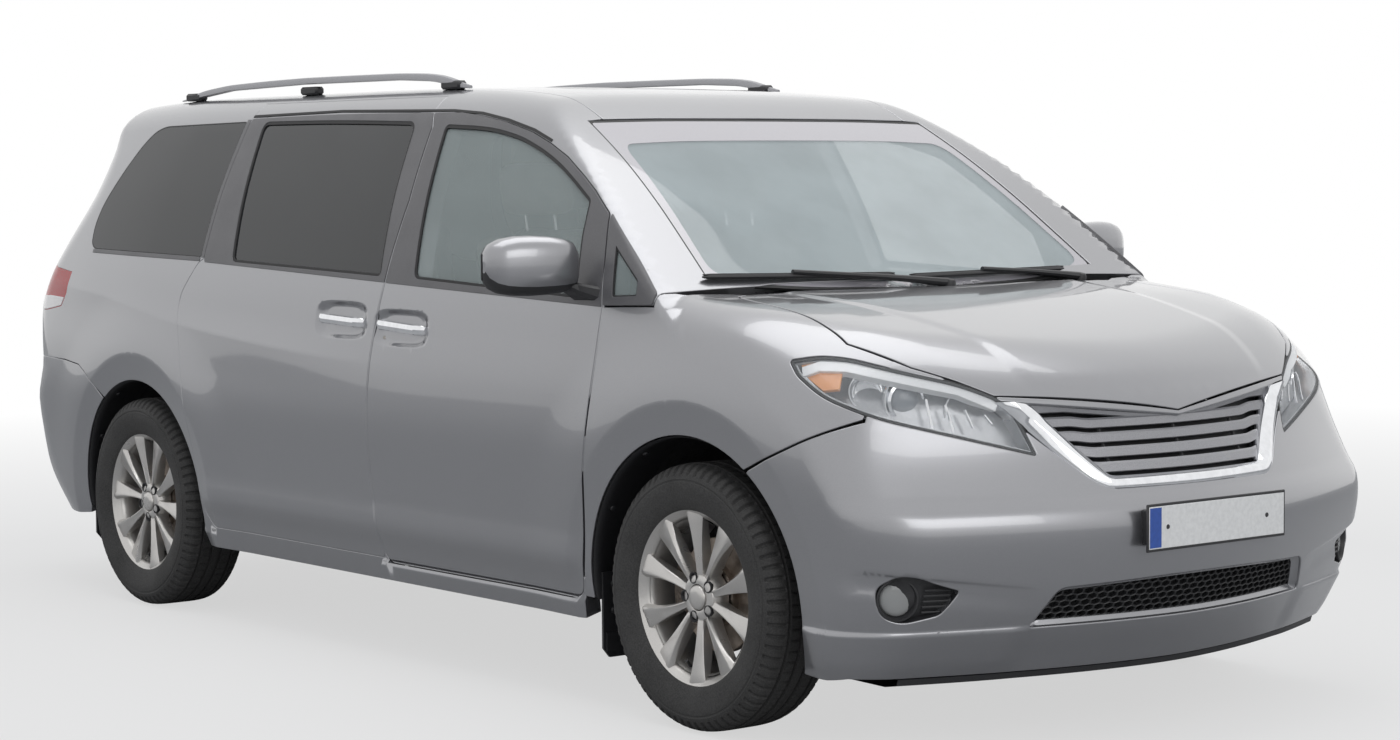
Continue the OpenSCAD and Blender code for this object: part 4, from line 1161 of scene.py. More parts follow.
def make_tailgate():
    """Painted shell, glass and seal, all on the tailgate."""
    gate = gate_loop()
    glass = front_loop(mirrored(GATE_WINDOW), -1)
    panel("tailgate_shell", BACK_SHEET, [gate, glass], "tailgate", "body_paint", ["tailgate"],
          (PAINT, INNER), [-2.5, 3], thick=60, spacing=28)
    panel("tailgate_pane", BACK_SHEET, [glass], "tailgate", "privacy_glass", ["tailgate_glass"],
          (DARK_GLASS,), [1], depth=2, thick=5, edge=1, spacing=60)
    seal_ring("tailgate_glass_seal", BACK_SHEET, glass, "tailgate", 0.5, 4, 1)


def make_rear_bumper():
    """Bumper skin, finer along the creases it shares with the sides."""
    seam = on_side([p[:2] for p in REAR_SEAM], RIGHT)
    rear_face = on_front(dense([(-830, 822), (-699, 822), (-699, 798), (699, 798), (699, 822), (830, 822)],
                               40, closed=False), -1)
    outline = np.concatenate([
        on_side([(-1890, 282), (-1830, 420)], RIGHT), on_side([(-1700, 560)], RIGHT), seam, rear_face,
        on_side([p[:2] for p in REAR_SEAM[::-1]], LEFT), on_side([(-1700, 560)], LEFT),
        on_side([(-1830, 420), (-1890, 282)], LEFT),
        on_front(dense([(860, 282), (-860, 282)], 40, closed=False), -1)])
    creases = np.concatenate([crease_points(RIGHT), crease_points(LEFT)])
    creases = creases[creases[:, 0] < -1700]
    panel("rear_bumper_shell", REAR_BUMPER_SHEET,
          [outline, arch_loop(REAR_AXLE, REAR_ARCH, RIGHT), arch_loop(REAR_AXLE, REAR_ARCH, LEFT)],
          "root", "body_paint", ["rear_bumper"], (PAINT, BLACK), [-2, 2.5, 2.5], thick=24, spacing=24,
          creases=creases)


def make_tail_lamps():
    """Red lamps with a clear lower part, and the reflectors in the bumper."""
    for side, word in SIDES:
        panel(f"tail_lamp_{word}_body", TAIL_LAMP_SHEET, [tail_lamp_loop(side)], "root", "red_lens",
              ["tail_lights"], (RED, BLACK), [-2], depth=1, thick=40, edge=3, spacing=16)
        low = np.concatenate([
            on_side(dense([(-2052, 1046), (-2081, 1013), (-2200, 997)], 16, False), side),
            on_front(dense([(side * 800, 988), (side * 745, 988), (side * 745, 1040), (side * 800, 1045)], 16,
                           False), -1),
            on_side([(-2180, 1050)], side)])
        panel(f"tail_lamp_{word}_clear", TAIL_LAMP_SHEET, [low], "root", "lamp_lens", (), (FROST,), [-3],
              depth=-0.8, thick=6, edge=2, spacing=16, back=False)
        reflector = on_front(dense(rounded([(side * 640, 392, 12), (side * 770, 396, 12),
                                            (side * 770, 422, 12), (side * 640, 418, 12)]), 15), -1)
        panel(f"rear_reflector_{word}", REAR_BUMPER_SHEET, [reflector], "root", "red_lens", (), (RED,), [0],
              depth=-3, thick=10, edge=2, spacing=20, back=False)


def make_gate_fittings():
    """Handle bar, blank plate, high stop lamp and wiper of the tailgate."""
    bits = Shape()
    y = np.linspace(-330, 330, 45)
    path = on_front([(v, 1032) for v in y], -1)
    bits.tube(path + [-9, 0, 0], 17 - 7 * (np.abs(y) / 330) ** 6, 0, 12, flat=0.55)
    ride(bits.done("gate_garnish", [CHROME]), "tailgate", "bright_trim")
    plate = Shape()
    rear_x = float(on_front([(0, 930)], -1)[0, 0])
    plate.box((rear_x - 9, -262, 868), (rear_x + 24, 262, 982), 4, 1)
    plate.box((rear_x - 11.5, -256, 874), (rear_x - 8, 256, 976), 1.2, 0)
    ride(plate.done("rear_plate", [WHITE, BLACK]), "tailgate", "black_plastic")
    lamp = Shape()
    top = on_front([(v, 1668) for v in np.linspace(-150, 150, 15)], -1)
    lamp.grid([top + [-2, 0, dz] for dz in (-7, 7)] + [top + [6, 0, 7]], 0)
    ride(lamp.done("high_stop_lamp", [RED]), "tailgate", "red_lens")
    wiper = Shape()
    pivot = on_front([(0, 1212)], -1)[0] + [-14, 0, 0]
    wiper.lathe([(0, 22), (16, 20), (20, 10), (21, -12)], pivot, (-1, 0, 0.45), 0, 20)
    tip = on_front([(-430, 1300)], -1)[0] + [-16, 0, 0]
    middle = on_front([(-200, 1262)], -1)[0] + [-26, 0, 0]
    wiper.tube([pivot + [-8, 0, 0], (pivot + middle) / 2 + [-10, 0, 0], middle, tip], [10, 9, 7, 4], 0, 8)
    blade = on_front([(v, 1212 + 0.2 * -v + 6) for v in np.linspace(-60, -470, 24)], -1) + [-9, 0, 0]
    wiper.tube(blade, 6, 0, 8)
    ride(wiper.done("rear_wiper", [BLACK]), "tailgate", "black_plastic")


# ------------------------------------------------------------------ lamps, grille, plate
def tucked(points, depth=8.0):
    """Points moved inwards where they would lie less than a depth under the skin."""
    points = np.array(points, float)
    for _ in range(3):
        over = np.maximum(body_gap(points) + depth, 0)
        points -= normals_at(points) * over[..., None]
    return points


def bowl(shape, centre, radius, hollow, aim, mat, steps=30):
    """A lamp reflector: a dish that opens towards aim."""
    profile = [(radius * math.sin(t), -hollow * math.cos(t)) for t in np.linspace(0.12, math.pi / 2, 9)]
    profile += [(radius + 4, 0), (radius + 4, -10)]
    start = len(shape.points)
    shape.lathe(profile, centre, aim, mat, steps)
    moved = tucked(shape.points[start:], 9)
    shape.points[start:] = moved.tolist()


def make_headlamps():
    for side, word in SIDES:
        loop = LAMP_LOOPS[side]
        sheet = NOSE_SHEET
        panel(f"headlamp_{word}_lens", sheet, [loop], "root", "lamp_lens", ["front_lamps"], (LENS,), [1],
              depth=2, thick=3, edge=0, spacing=30)
        seal_ring(f"headlamp_{word}_seal", sheet, loop, "root", -4, 4.4, 2.5)
        panel(f"headlamp_{word}_rim", sheet, [loop, loop], "root", "cast_metal", (), (BUCKET,), [-2, -7],
              depth=8, thick=56, edge=1, spacing=90, back=False)
        panel(f"headlamp_{word}_back", sheet, [loop], "root", "cast_metal", (), (BUCKET,), [-3],
              depth=62, thick=3, edge=0, spacing=30, back=False)
        upper = lamp_line([(1240, 898), (1142, 940), (993, 973), (865, 1001), (790, 1003), (745, 988)], side)
        strip(f"headlamp_{word}_brow", sheet, band(sheet, upper, 0, 22 * side), "root", "lamp_lens",
              PALE, depth=7, thick=22, edge=2, spacing=24)
        lowest = lamp_line([(752, 968), (806, 920), (932, 872), (1130, 822), (1318, 770)], side)
        strip(f"headlamp_{word}_sill", sheet, band(sheet, lowest, 0, -10 * side), "root", "lamp_lens",
              BUCKET, depth=9, thick=20, edge=2, spacing=24)
        amber = lamp_line([(738, 998), (848, 1000), (840, 940), (800, 936), (758, 966)], side)
        panel(f"headlamp_{word}_amber", sheet, [amber], "root", "lamp_lens", (), (AMBER,), [0], depth=14,
              thick=10, edge=2, spacing=18, back=False)
        inside = Shape()
        aim = (1, side * 0.28, 0.02)
        bowl(inside, (2160, side * 712, 901), 74, 40, aim, 0)
        bowl(inside, (2228, side * 588, 866), 60, 36, aim, 0)
        bowl(inside, (2096, side * 806, 925), 44, 26, (1, side * 0.7, 0.02), 0)
        start = len(inside.points)
        inside.lathe([(40, -34), (43, 0), (47, 4), (54, 1), (57, -10), (57, -40)], (2158, side * 728, 899),
                     aim, 1, 32)
        inside.lathe([(42 * math.sin(t), -6 + 26 * math.cos(t)) for t in np.linspace(0, math.pi / 2, 9)],
                     (2150, side * 727, 899), aim, 2, 32)
        inside.points[start:] = tucked(inside.points[start:], 9).tolist()
        for k in range(5):
            line = lamp_line([(1080 + 48 * k, 815 + 8 * k), (1060 + 48 * k, 905 - 14 * k)], side, 26)
            inside.tube(line, 3.5, 1, 6)
        inside.tube(tucked([(2190, side * 590, 866), (2222, side * 586, 866)], 12), 7, 3, 10)
        obj = inside.done(f"headlamp_{word}_optics", [MIRROR, CHROME, LENS_BALL, PALE])
        ride(obj, "root", "bright_trim", "front_lamps")


def lamp_line(points, side, depth=0.0):
    """A line drawn on the headlight's upright plane, on the skin at a depth."""
    across, up = dense(np.array(points, float), 14, closed=False).T
    s = math.sqrt(0.5)
    start = np.stack([s * (across + 300), side * s * (300 - across), up], axis=-1)
    return hit(start, [s, side * s, 0.0], depth)


def make_fog_lamps(fog):
    for side, word in SIDES:
        panel(f"fog_{word}_pocket", NOSE_SHEET, [fog[side]], "root", "black_plastic", ["front_lamps"],
              (BLACK,), [1], depth=26, thick=4, edge=0, spacing=24, back=False)
        panel(f"fog_{word}_wall", NOSE_SHEET, [fog[side], fog[side]], "root", "black_plastic", (),
              (BLACK,), [-0.4, -3], depth=3, thick=32, edge=1, spacing=90, back=False)
        bits = Shape()
        aim = (0.88, side * 0.47, 0)
        centre = np.array([2262, side * 856, 418.0]) - 6 * np.array(aim)
        bits.lathe([(56, -30), (56, -3), (54, 2), (50, 3), (45, -4), (43, -20)], centre, aim, 0, 36)
        bits.lathe([(43 * math.sin(t), -14 + 12 * math.cos(t)) for t in np.linspace(0, math.pi / 2, 8)],
                   centre, aim, 1, 36)
        bits.lathe([(38 * math.sin(t), -24 - 22 * math.cos(t)) for t in np.linspace(0.1, math.pi / 2, 8)],
                   centre, aim, 2, 28)
        bits.lathe([(0, -12), (8, -14), (9, -22), (9, -40)], centre, aim, 2, 14)
        for k in range(5):
            z = 384 + 14 * k
            reach = np.linspace(732 + 2 * abs(k - 2), 800 - 3 * (k - 2) ** 2 / 4, 8)
            row = on_front([(side * v, z) for v in reach])
            bits.tube(row - [17, 0, 0], 3, 0, 6)
        obj = bits.done(f"fog_{word}_lamp", [BLACK, FOG_LENS, MIRROR])
        ride(obj, "root", "lamp_lens", "front_lamps")


def make_grille_surround():
    outer = [(556, 896), (345, 690), (300, 669), (-300, 669), (-345, 690), (-556, 896)]
    inner = [(462, 888), (304, 724), (284, 704), (-284, 704), (-304, 724), (-462, 888)]
    edges = []
    for line in (outer, inner):
        line = np.array(line, float)
        parts = [a + (b - a) * np.linspace(0, 1, n, endpoint=False)[:, None]
                 for a, b, n in zip(line, line[1:], (30, 8, 60, 8, 30))]
        line = np.concatenate(parts + [line[-1:]])
        for _ in range(6):
            line[1:-1] = (line[:-2] + 2 * line[1:-1] + line[2:]) / 4
        edges.append(line)
    rows = []
    for t, depth in ((0, 40), (0, 5), (0.05, 1), (0.12, -1.5), (0.44, -7), (0.50, -7.5), (0.56, -6.5),
                     (0.9, 3), (0.97, 6), (1, 10), (1, 40)):
        at = on_front(edges[0] * (1 - t) + edges[1] * t)
        rows.append(at - normals_at(at) * depth)
    surround = Shape().grid(np.array(rows), 0)
    ride(surround.done("grille_surround", [CHROME], 24, merge=True), "root", "bright_trim", "grille")
    panel("grille_backing", NOSE_SHEET, [GRILLE_LOOP], "root", "black_plastic", (), (BLACK,), [-4],
          depth=58, thick=3, edge=0, spacing=40, back=False)


SLATS, LOWEST_SLAT, SLAT_PITCH = 5, 720, 36.5


def make_grille_slats():
    slats = Shape()
    for i in range(SLATS):
        middle = LOWEST_SLAT + SLAT_PITCH * i
        reach = 306 + (middle - 706) * 1.13
        y = np.linspace(-reach, reach, 90)
        top = 843 + 57 * np.abs(y) / 548 - 7
        wave = 7 * step_up(np.abs(y), 285, 355)
        rows = []
        for back, up in ((34, 9), (19, 14), (15, 9), (19, -10), (25, -13), (34, -11)):
            z = middle + wave + up
            if i == SLATS - 1:
                z = np.minimum(z, top + np.minimum(up, 0))
            surface = on_front(np.stack([y, z], axis=-1))
            rows.append(surface - [back, 0, 0])
        slats.grid(np.stack(rows, axis=1), 0, across=True, caps=True)
    for v in (-250, 0, 250):
        post = on_front([(v, z) for z in np.linspace(708, 838, 6)]) - [36, 0, 0]
        slats.tube(post, 5, 1, 6)
    ride(slats.done("grille_slats", [SLAT, BLACK], 30), "root", "grey_trim", "grille")


MESH_ROWS, MESH_SIDE_CELLS, MESH_CELL = 9, 18, 30


def make_lower_grille(lower):
    mesh = Shape()
    outer, hole = [], []
    half = np.array([(0, 10.3), (15, 5.2), (15, -5.2), (0, -10.3), (-15, -5.2), (-15, 5.2)])
    for row in range(MESH_ROWS):
        for col in range(-MESH_SIDE_CELLS, MESH_SIDE_CELLS + 1):
            y, z = col * MESH_CELL + (row % 2) * MESH_CELL / 2, 322 + 15.5 * row
            if abs(y) < 542 - (z - 318) * 0.5:
                outer.append(half + (y, z))
                hole.append(half * (0.84, 0.76) + (y, z))
    outer, hole = np.array(outer), np.array(hole)
    n = len(outer)
    front = on_front(outer.reshape(-1, 2)).reshape(n, 6, 3) - [25, 0, 0]
    near = on_front(hole.reshape(-1, 2)).reshape(n, 6, 3) - [23, 0, 0]
    deep = near - [13, 0, 0]
    points = np.concatenate([front, near, deep], axis=1)
    faces = [[k * 18 + i, k * 18 + (i + 1) % 6, k * 18 + 6 + (i + 1) % 6, k * 18 + 6 + i]
             for k in range(n) for i in range(6)]
    faces += [[k * 18 + 6 + i, k * 18 + 6 + (i + 1) % 6, k * 18 + 12 + (i + 1) % 6, k * 18 + 12 + i]
              for k in range(n) for i in range(6)]
    mesh.add(points, faces)
    ride(mesh.done("lower_grille_mesh", [BLACK], 20), "root", "black_plastic", "grille")
    panel("lower_grille_backing", NOSE_SHEET, [lower], "root", "black_plastic", (), (SEAL,), [2],
          depth=60, thick=3, edge=0, spacing=50, back=False)
    panel("lower_grille_wall", NOSE_SHEET, [lower, lower], "root", "body_paint", (), (PAINT,), [2.4, -11],
          depth=lambda uv, loops: np.where(distance_to_loop(uv, loops[1]) < 3, 22.0, 4.0), thick=8, edge=1,
          spacing=60, back=False)


PLATE_Z = 573


def make_plate():
    """Holder, frame, blank plate, its blue strip and two screws."""
    x = float(on_front([(0, PLATE_Z)])[0, 0])
    plate = Shape()
    for back, front, half_width, half_height, cut, mat in ((-34, -1, 250, 45, 4, 1), (-1, 3.5, 266, 61, 3, 1),
                                                           (3, 5.5, 259, 54, 1.2, 0)):
        plate.box((x + back, -half_width, PLATE_Z - half_height),
                  (x + front, half_width, PLATE_Z + half_height), cut, mat)
    plate.box((x + 4.8, -257, PLATE_Z - 51), (x + 6.1, -214, PLATE_Z + 51), 0.6, 2)
    for v in (-190, 190):
        plate.lathe([(0, 2.2), (5, 2), (6.5, 0)], (x + 5.4, v, PLATE_Z), (1, 0, 0), 1, 14)
    ride(plate.done("front_plate", [WHITE, BLACK, BLUE]), "root", "black_plastic")


def make_tray_lip():
    under = Shape()
    lip = on_front([(v, 214) for v in np.linspace(-800, 800, 50)])
    under.grid([lip + [-26, 0, 2], lip + [-12, 0, -10], lip + [-18, 0, -26], lip + [-60, 0, -34],
                lip + [-230, 0, -30]], 0)
    ride(under.done("under_tray_lip", [BLACK]), "root", "black_plastic")


def make_arches_and_flaps():
    for side, word in SIDES:
        for axle, radius, end in ((FRONT_AXLE, FRONT_ARCH, "front"), (REAR_AXLE, REAR_ARCH, "rear")):
            t = np.linspace(-0.12, math.pi + 0.12, 60)
            rim = on_side([(axle + radius * math.cos(a), AXLE_Z + radius * math.sin(a)) for a in t], side)
            middle = np.array([axle, 0, AXLE_Z])
            inward = (middle - rim) * [1, 0, 1]
            inward /= np.linalg.norm(inward, axis=1, keepdims=True)
            lining = Shape()
            lining.grid([rim + inward * 2 - [0, side * 6, 0], rim + inward * 7 - [0, side * 16, 0],
                         rim + inward * 5 - [0, side * 34, 0], rim - inward * 4 - [0, side * 60, 0],
                         rim - inward * 4 - [0, side * 150, 0]], 0)
            for a in np.linspace(0.5, 2.64, 5):
                c = on_side([(axle + radius * math.cos(a), AXLE_Z + radius * math.sin(a))], side)[0]
                c = c + (middle - c) * [0.012, 0, 0.012] - [0, side * 45, 0]
                lining.lathe([(0, 5), (7, 4), (9, 0)], c, tuple((middle - c) * [1, 0, 1]), 0, 12)
            ride(lining.done(f"arch_lining_{end}_{word}", [BLACK]), "root", "black_plastic")
            flap = Shape()
            if end == "front":
                x, y0, y1, z0, z1 = 1147, 812, 938, 143, 381
            else:
                x, y0, y1, z0, z1 = -1938, 780, 896, 176, 414
            outline = [(side * a, b) for a, b in ((y0, z1), (y0, z0 + 16), (y0 + 14, z0), (y1 - 22, z0),
                                                  (y1, z0 + 26), (y1, z1))]
            outline = dense(outline, 30)
            flap.add(*prism(outline, x, x + 8, 0), 0)
            tail = [(side * a, b) for a, b in ((y0 + 6, z0 + 70), (y0 + 6, z0 + 10), (y1 - 8, z0 + 18),
                                               (y1 - 8, z0 + 70))]
            flap.add(*prism(tail, x + 7, x + 14, 0), 0)
            for dz in (40, 130, 205):
                flap.lathe([(0, 6), (8, 5), (10, 0)], (x + 8, side * (y1 - 36), z0 + dz), (1, 0, 0), 0, 12)
            ride(flap.done(f"mud_flap_{end}_{word}", [BLACK]), "root", "black_plastic", "mud_flaps")


LENS_BALL = glass_material("projector_lens", (0.30, 0.33, 0.36), 0.65, Coat_Weight=1.0)


# ------------------------------------------------------------------ handles, mirrors, rails, wipers
HANDLE_SECTION = ((1, 0.55), (1.25, 0), (0.7, -0.75), (0, -1), (-1, -0.7), (-1, 0.7), (0, 1), (0.6, 0.9))


def make_handles():
    for side, word in SIDES:
        for name, body, x0, x1, z0, z1 in (("front", f"front_door_{word}", 72, 330, 1028, 1016),
                                           ("sliding", "root", -262, -8, 1036, 1027)):
            x = np.linspace(x0, x1, 34)
            z = np.linspace(z0, z1, 34)
            t = np.linspace(0, 1, 34)
            lift = 20 * np.sin(np.clip(np.minimum(t, 1 - t) * 6.5, 0, 1) * math.pi / 2) ** 0.8 - 2
            skin = on_side(np.stack([x, z], -1), side)
            skin[:, 1] = side * (HALF_WIDTH - smooth(z, SIDE) - smooth(x, PLAN))
            path = skin + np.stack([0 * t, side * (lift - 4), 0 * t], -1)
            wide = 15 * np.clip(np.minimum(t, 1 - t) * 14 + 0.5, 0, 1) ** 0.5
            rows = [[p + np.array([0, side * 6 * a, w * b]) for a, b in HANDLE_SECTION]
                    for p, w in zip(path, wide)]
            bar = Shape().grid(rows, 0, across=True, caps=True)
            ride(bar.done(f"handle_{name}_{word}", [CHROME], 26), body, "bright_trim")
            if name == "front":
                lock = Shape()
                spot = on_side([(x0 + 24, 984)], side)[0]
                lock.lathe([(0, 2), (7, 2), (8.5, 0), (8.5, -4)], spot - [0, side, 0], (0, side, 0), 0, 18)
                ride(lock.done(f"door_lock_{word}", [STEEL]), body, "bright_trim")


def make_mirrors():
    for side, word in SIDES:
        body = f"front_door_{word}"
        stations = [(968, 1076, 1222, 10, 20), (974, 1078, 1224, 30, 50), (990, 1078, 1226, 42, 68),
                    (1020, 1074, 1227, 50, 76), (1065, 1066, 1228, 56, 81), (1115, 1056, 1228, 58, 83),
                    (1160, 1048, 1228, 56, 81), (1196, 1042, 1227, 50, 74), (1220, 1038, 1226, 40, 62),
                    (1236, 1036, 1226, 24, 42), (1241, 1036, 1226, 8, 16)]
        t = np.linspace(0, 2 * math.pi, 44, endpoint=False)
        rows = []
        for y, cx, cz, hx, hz in stations:
            c, s = np.cos(t), np.sin(t)
            x = cx + hx * np.sign(c) * np.abs(c) ** 0.80
            z = cz + hz * np.sign(s) * np.abs(s) ** 0.62
            x = np.maximum(x, cx - 0.62 * hx)
            rows.append(np.stack([x, np.full_like(x, side * y), z], -1))
        rows = np.array(rows)
        shell = Shape()
        n, m = rows.shape[:2]
        quads = [[i * m + j, i * m + (j + 1) % m, (i + 1) * m + (j + 1) % m, (i + 1) * m + j]
                 for i in range(n - 1) for j in range(m)]
        flat = rows.reshape(-1, 3)
        shell.add(flat, [q for q in quads if not 26 <= q[0] % m < 40], 0)
        shell.add(flat, [q for q in quads if 26 <= q[0] % m < 40], 1)
        for i in (0, n - 1):
            ring = list(range(i * m, (i + 1) * m))
            shell.add(flat[ring], [list(range(m))[::(-1 if i == 0 else 1)]], 0)
        ride(shell.done(f"mirror_{word}_shell", [PAINT, BLACK], 50), body, "body_paint", f"mirror_{word}")
        face = Shape()
        outline = []
        for y, cx, cz, hx, hz in stations[2:-1]:
            outline.append((cx - 0.62 * hx - 1, side * y, cz + hz * 0.80))
        for y, cx, cz, hx, hz in stations[2:-1][::-1]:
            outline.append((cx - 0.62 * hx - 1, side * y, cz - hz * 0.78))
        k = len(outline)
        face.add(outline, [list(range(k))], 0)
        face.tube(outline + outline[:1], 3.5, 1, 6, caps=False)
        ride(face.done(f"mirror_{word}_glass", [MIRROR, BLACK]), body, "bright_trim", f"mirror_{word}")
        arm = Shape()
        rows = []
        for y, x0, x1, z0, z1 in ((942, 1052, 1186, 1120, 1166), (962, 1052, 1160, 1132, 1172),
                                  (985, 1052, 1120, 1146, 1180), (1010, 1050, 1108, 1160, 1190),
                                  (1040, 1048, 1102, 1168, 1196)):
            section = ((x0, z0 + 8), (x0 + 8, z0), (x1 - 14, z0 + 2), (x1, z0 + 12),
                       (x1 - 4, z1 - 8), (x1 - 16, z1), (x0 + 8, z1), (x0, z1 - 8))
            rows.append([(x, side * y, z) for x, z in section])
        arm.grid(rows, 0, across=True, caps=True)
        ride(arm.done(f"mirror_{word}_arm", [BLACK], 30), body, "black_plastic", f"mirror_{word}")


RAIL_Y = 620
RAIL_SECTION = ((-1, 0.12), (-1, 0.62), (-0.72, 0.9), (0, 1), (0.72, 0.9), (1, 0.62), (1, 0.12), (0, 0))


def rail_foot(x):
    """Height of the roof's edge at x, where the rails stand."""
    return ROOF_HEIGHT - smooth(np.asarray(x, float), ROOF) - 16 * (604 / 700) ** 3 + 1


def make_roof_parts():
    for side, word in SIDES:
        x = np.array([75, 40, 0, -60, -160, -320, -600, -900, -1150, -1400, -1560, -1640, -1700, -1735.0])
        top = np.array([rail_foot(75) + 3, 1757, 1770, 1784, 1793, 1798, 1799.5, 1800, 1796, 1789, 1776,
                        1762, 1745, rail_foot(-1735) + 3])
        keys = np.linspace(75, -1735, 64)
        crown = np.interp(-keys, -x, top)
        crown = np.convolve(np.r_[crown[:2], crown, crown[-2:]], [0.1, 0.2, 0.4, 0.2, 0.1], "valid")
        low_x = np.array([75, 0, -60, -140, -320, -900, -1380, -1500, -1650, -1735.0])
        low = np.array([rail_foot(75), rail_foot(0) + 2, 1756, 1767, 1775, 1777, 1768, 1757,
                        rail_foot(-1650) + 2, rail_foot(-1735)])
        under = np.interp(-keys, -low_x, low)
        under = np.minimum(under, crown - 4)
        rows = []
        for k, (xx, a, b) in enumerate(zip(keys, crown, under)):
            w = 16 * min(1, 0.35 + min(k, 63 - k) / 5)
            rows.append([(xx, side * RAIL_Y + dy * w, b + (a - b) * v) for dy, v in RAIL_SECTION])
        rail = Shape().grid(rows, 0, across=True, caps=True)
        for xx in (-20, -860, -1640):
            floor = float(rail_foot(xx))
            rail.box((xx - 52, side * RAIL_Y - 17, floor - 3),
                     (xx + 52, side * RAIL_Y + 17, floor + 24), 7, 1)
        ride(rail.done(f"roof_rail_{word}", [SLAT, BLACK], 40), "root", "black_plastic", "roof_rails")
        ditch = on_top([(v, side * 601.5) for v in np.linspace(560, -1960, 80)])
        gutter = Shape().tube(ditch - [0, 0, 5], 4.2, 0, 8)
        ride(gutter.done(f"roof_ditch_{word}", [SEAL]), "root", "black_rubber")
    aerial = Shape()
    base = on_top([(-1820, 0)])[0]
    rows = []
    for t in np.linspace(0, 1, 12):
        w, h = 30 * (1 - t) ** 0.6 + 1, 30 * math.sin(math.pi * min(t * 0.9 + 0.1, 1)) + 2
        rows.append([base + [60 - 130 * t, w * math.cos(a), max(h * math.sin(a), 0) - 1]
                     for a in np.linspace(0, math.pi, 11)])
    aerial.grid(rows, 0)
    ride(aerial.done("aerial_fin", [PAINT]), "root", "body_paint")


def make_cowl_and_wipers():
    y = np.linspace(-690, 690, 50)
    bow = 60 * (np.abs(y) / 690) ** 2
    cover = Shape()
    rows = []
    for x, z in ((1505, 1112), (1500, 1128), (1478, 1141), (1440, 1150), (1412, 1158), (1396, 1163)):
        rows.append(np.stack([x - bow * 0.9, y, z + 0 * y], -1))
    rows = np.array(rows)
    cover.grid(tucked(rows.reshape(-1, 3), 7).reshape(rows.shape), 0)
    for v in np.linspace(-600, 600, 40):
        if abs(v) > 60:
            x = 1470 - 54 * (abs(v) / 690) ** 2
            p = tucked([(x - 16, v, 1147), (x + 16, v, 1139)], 4)
            cover.tube(p, 2.4, 0, 5)
    ride(cover.done("cowl_cover", [BLACK]), "root", "black_plastic", "cowl")
    for name, pivot_y in (("driver", 60), ("passenger", 640)):
        arm = Shape()
        base = np.array([1484 - 50 * (pivot_y / 690) ** 2, pivot_y, 1144.0])
        blade_y = np.linspace(-110, -770, 30) if name == "driver" else np.linspace(590, -60, 30)
        height = np.linspace(1178, 1190, 30) if name == "driver" else np.linspace(1178, 1172, 30)
        blade = on_front(np.stack([blade_y, height], -1)) + [10, 0, 5]
        arm.tube(blade, [3] + [7] * 28 + [3], 0, 8, flat=1.5)
        arm.tube(blade + [0, 0, 6], [2] + [4] * 28 + [2], 0, 6)
        middle = blade[16]
        arm.lathe([(0, 26), (15, 24), (19, 14), (20, -10)], base, (0.2, 0, 1), 0, 18)
        arm.tube([base + [0, 0, 14], base * 0.75 + middle * 0.25 + [6, 0, 16],
                  (base + middle) / 2 + [10, 0, 16], middle + [2, 0, 12]], [13, 10, 8, 7], 0, 8, flat=1.2)
        ride(arm.done(f"wiper_{name}", [BLACK]), "root", "black_plastic")


# ------------------------------------------------------------------ wheels
HUB, OUTWARD = (0, 0, 0), (0, 0, 1)


TREAD_STEPS, TREAD_PERIOD = 432, 6
SPOKE_PAIRS = 5


def tyre_mesh():
    """Tyre about the z axis, outer side up: sidewalls, rings, and a grooved tread."""
    section = [(229, 90, 0), (236, 100, 0), (245, 105, 0), (262, 111, 0), (285, 116, 0), (300, 117.5, 0),
               (309, 116.5, 0), (311, 114.8, 0), (315, 114.6, 0), (317, 115.6, 0), (326, 112.5, 0),
               (333, 109, 1), (340, 104, 1), (346.5, 98, 1), (351, 91, 1), (354, 82, 1), (355.4, 72, 1),
               (356, 66, 2), (348, 64, 2), (348, 57, 2), (356.6, 55, 2), (357, 40, 3), (357, 24, 3),
               (349, 22, 2), (349, 14, 2), (357, 12, 4), (357, 0, 4)]
    section = section + [(r, -h, k) for r, h, k in section[-2::-1]]
    r, h, kind = np.array(section, float).T
    turn = np.arange(TREAD_STEPS) * 2 * math.pi / TREAD_STEPS
    phase = (np.arange(TREAD_STEPS) % TREAD_PERIOD)[None, :]
    radius = np.repeat(r[:, None], TREAD_STEPS, 1)
    height = np.repeat(h[:, None], TREAD_STEPS, 1)
    lateral = (phase == 0) | (phase == 1)
    late = np.roll(lateral, TREAD_PERIOD // 2, axis=1)
    sipe = (kind[:, None] == 1) & np.where(h[:, None] > 0, lateral, late)
    radius = np.where(sipe, radius - 6, radius)
    height = np.where(sipe, height - np.sign(height) * 2.5, height)
    block = (kind[:, None] == 3) & np.roll(phase == 2, 1, axis=1)
    radius = np.where(block, radius - 5, radius)
    rows = np.stack([radius * np.cos(turn), radius * np.sin(turn), height], -1)
    return Shape().grid(rows, 0, across=True)


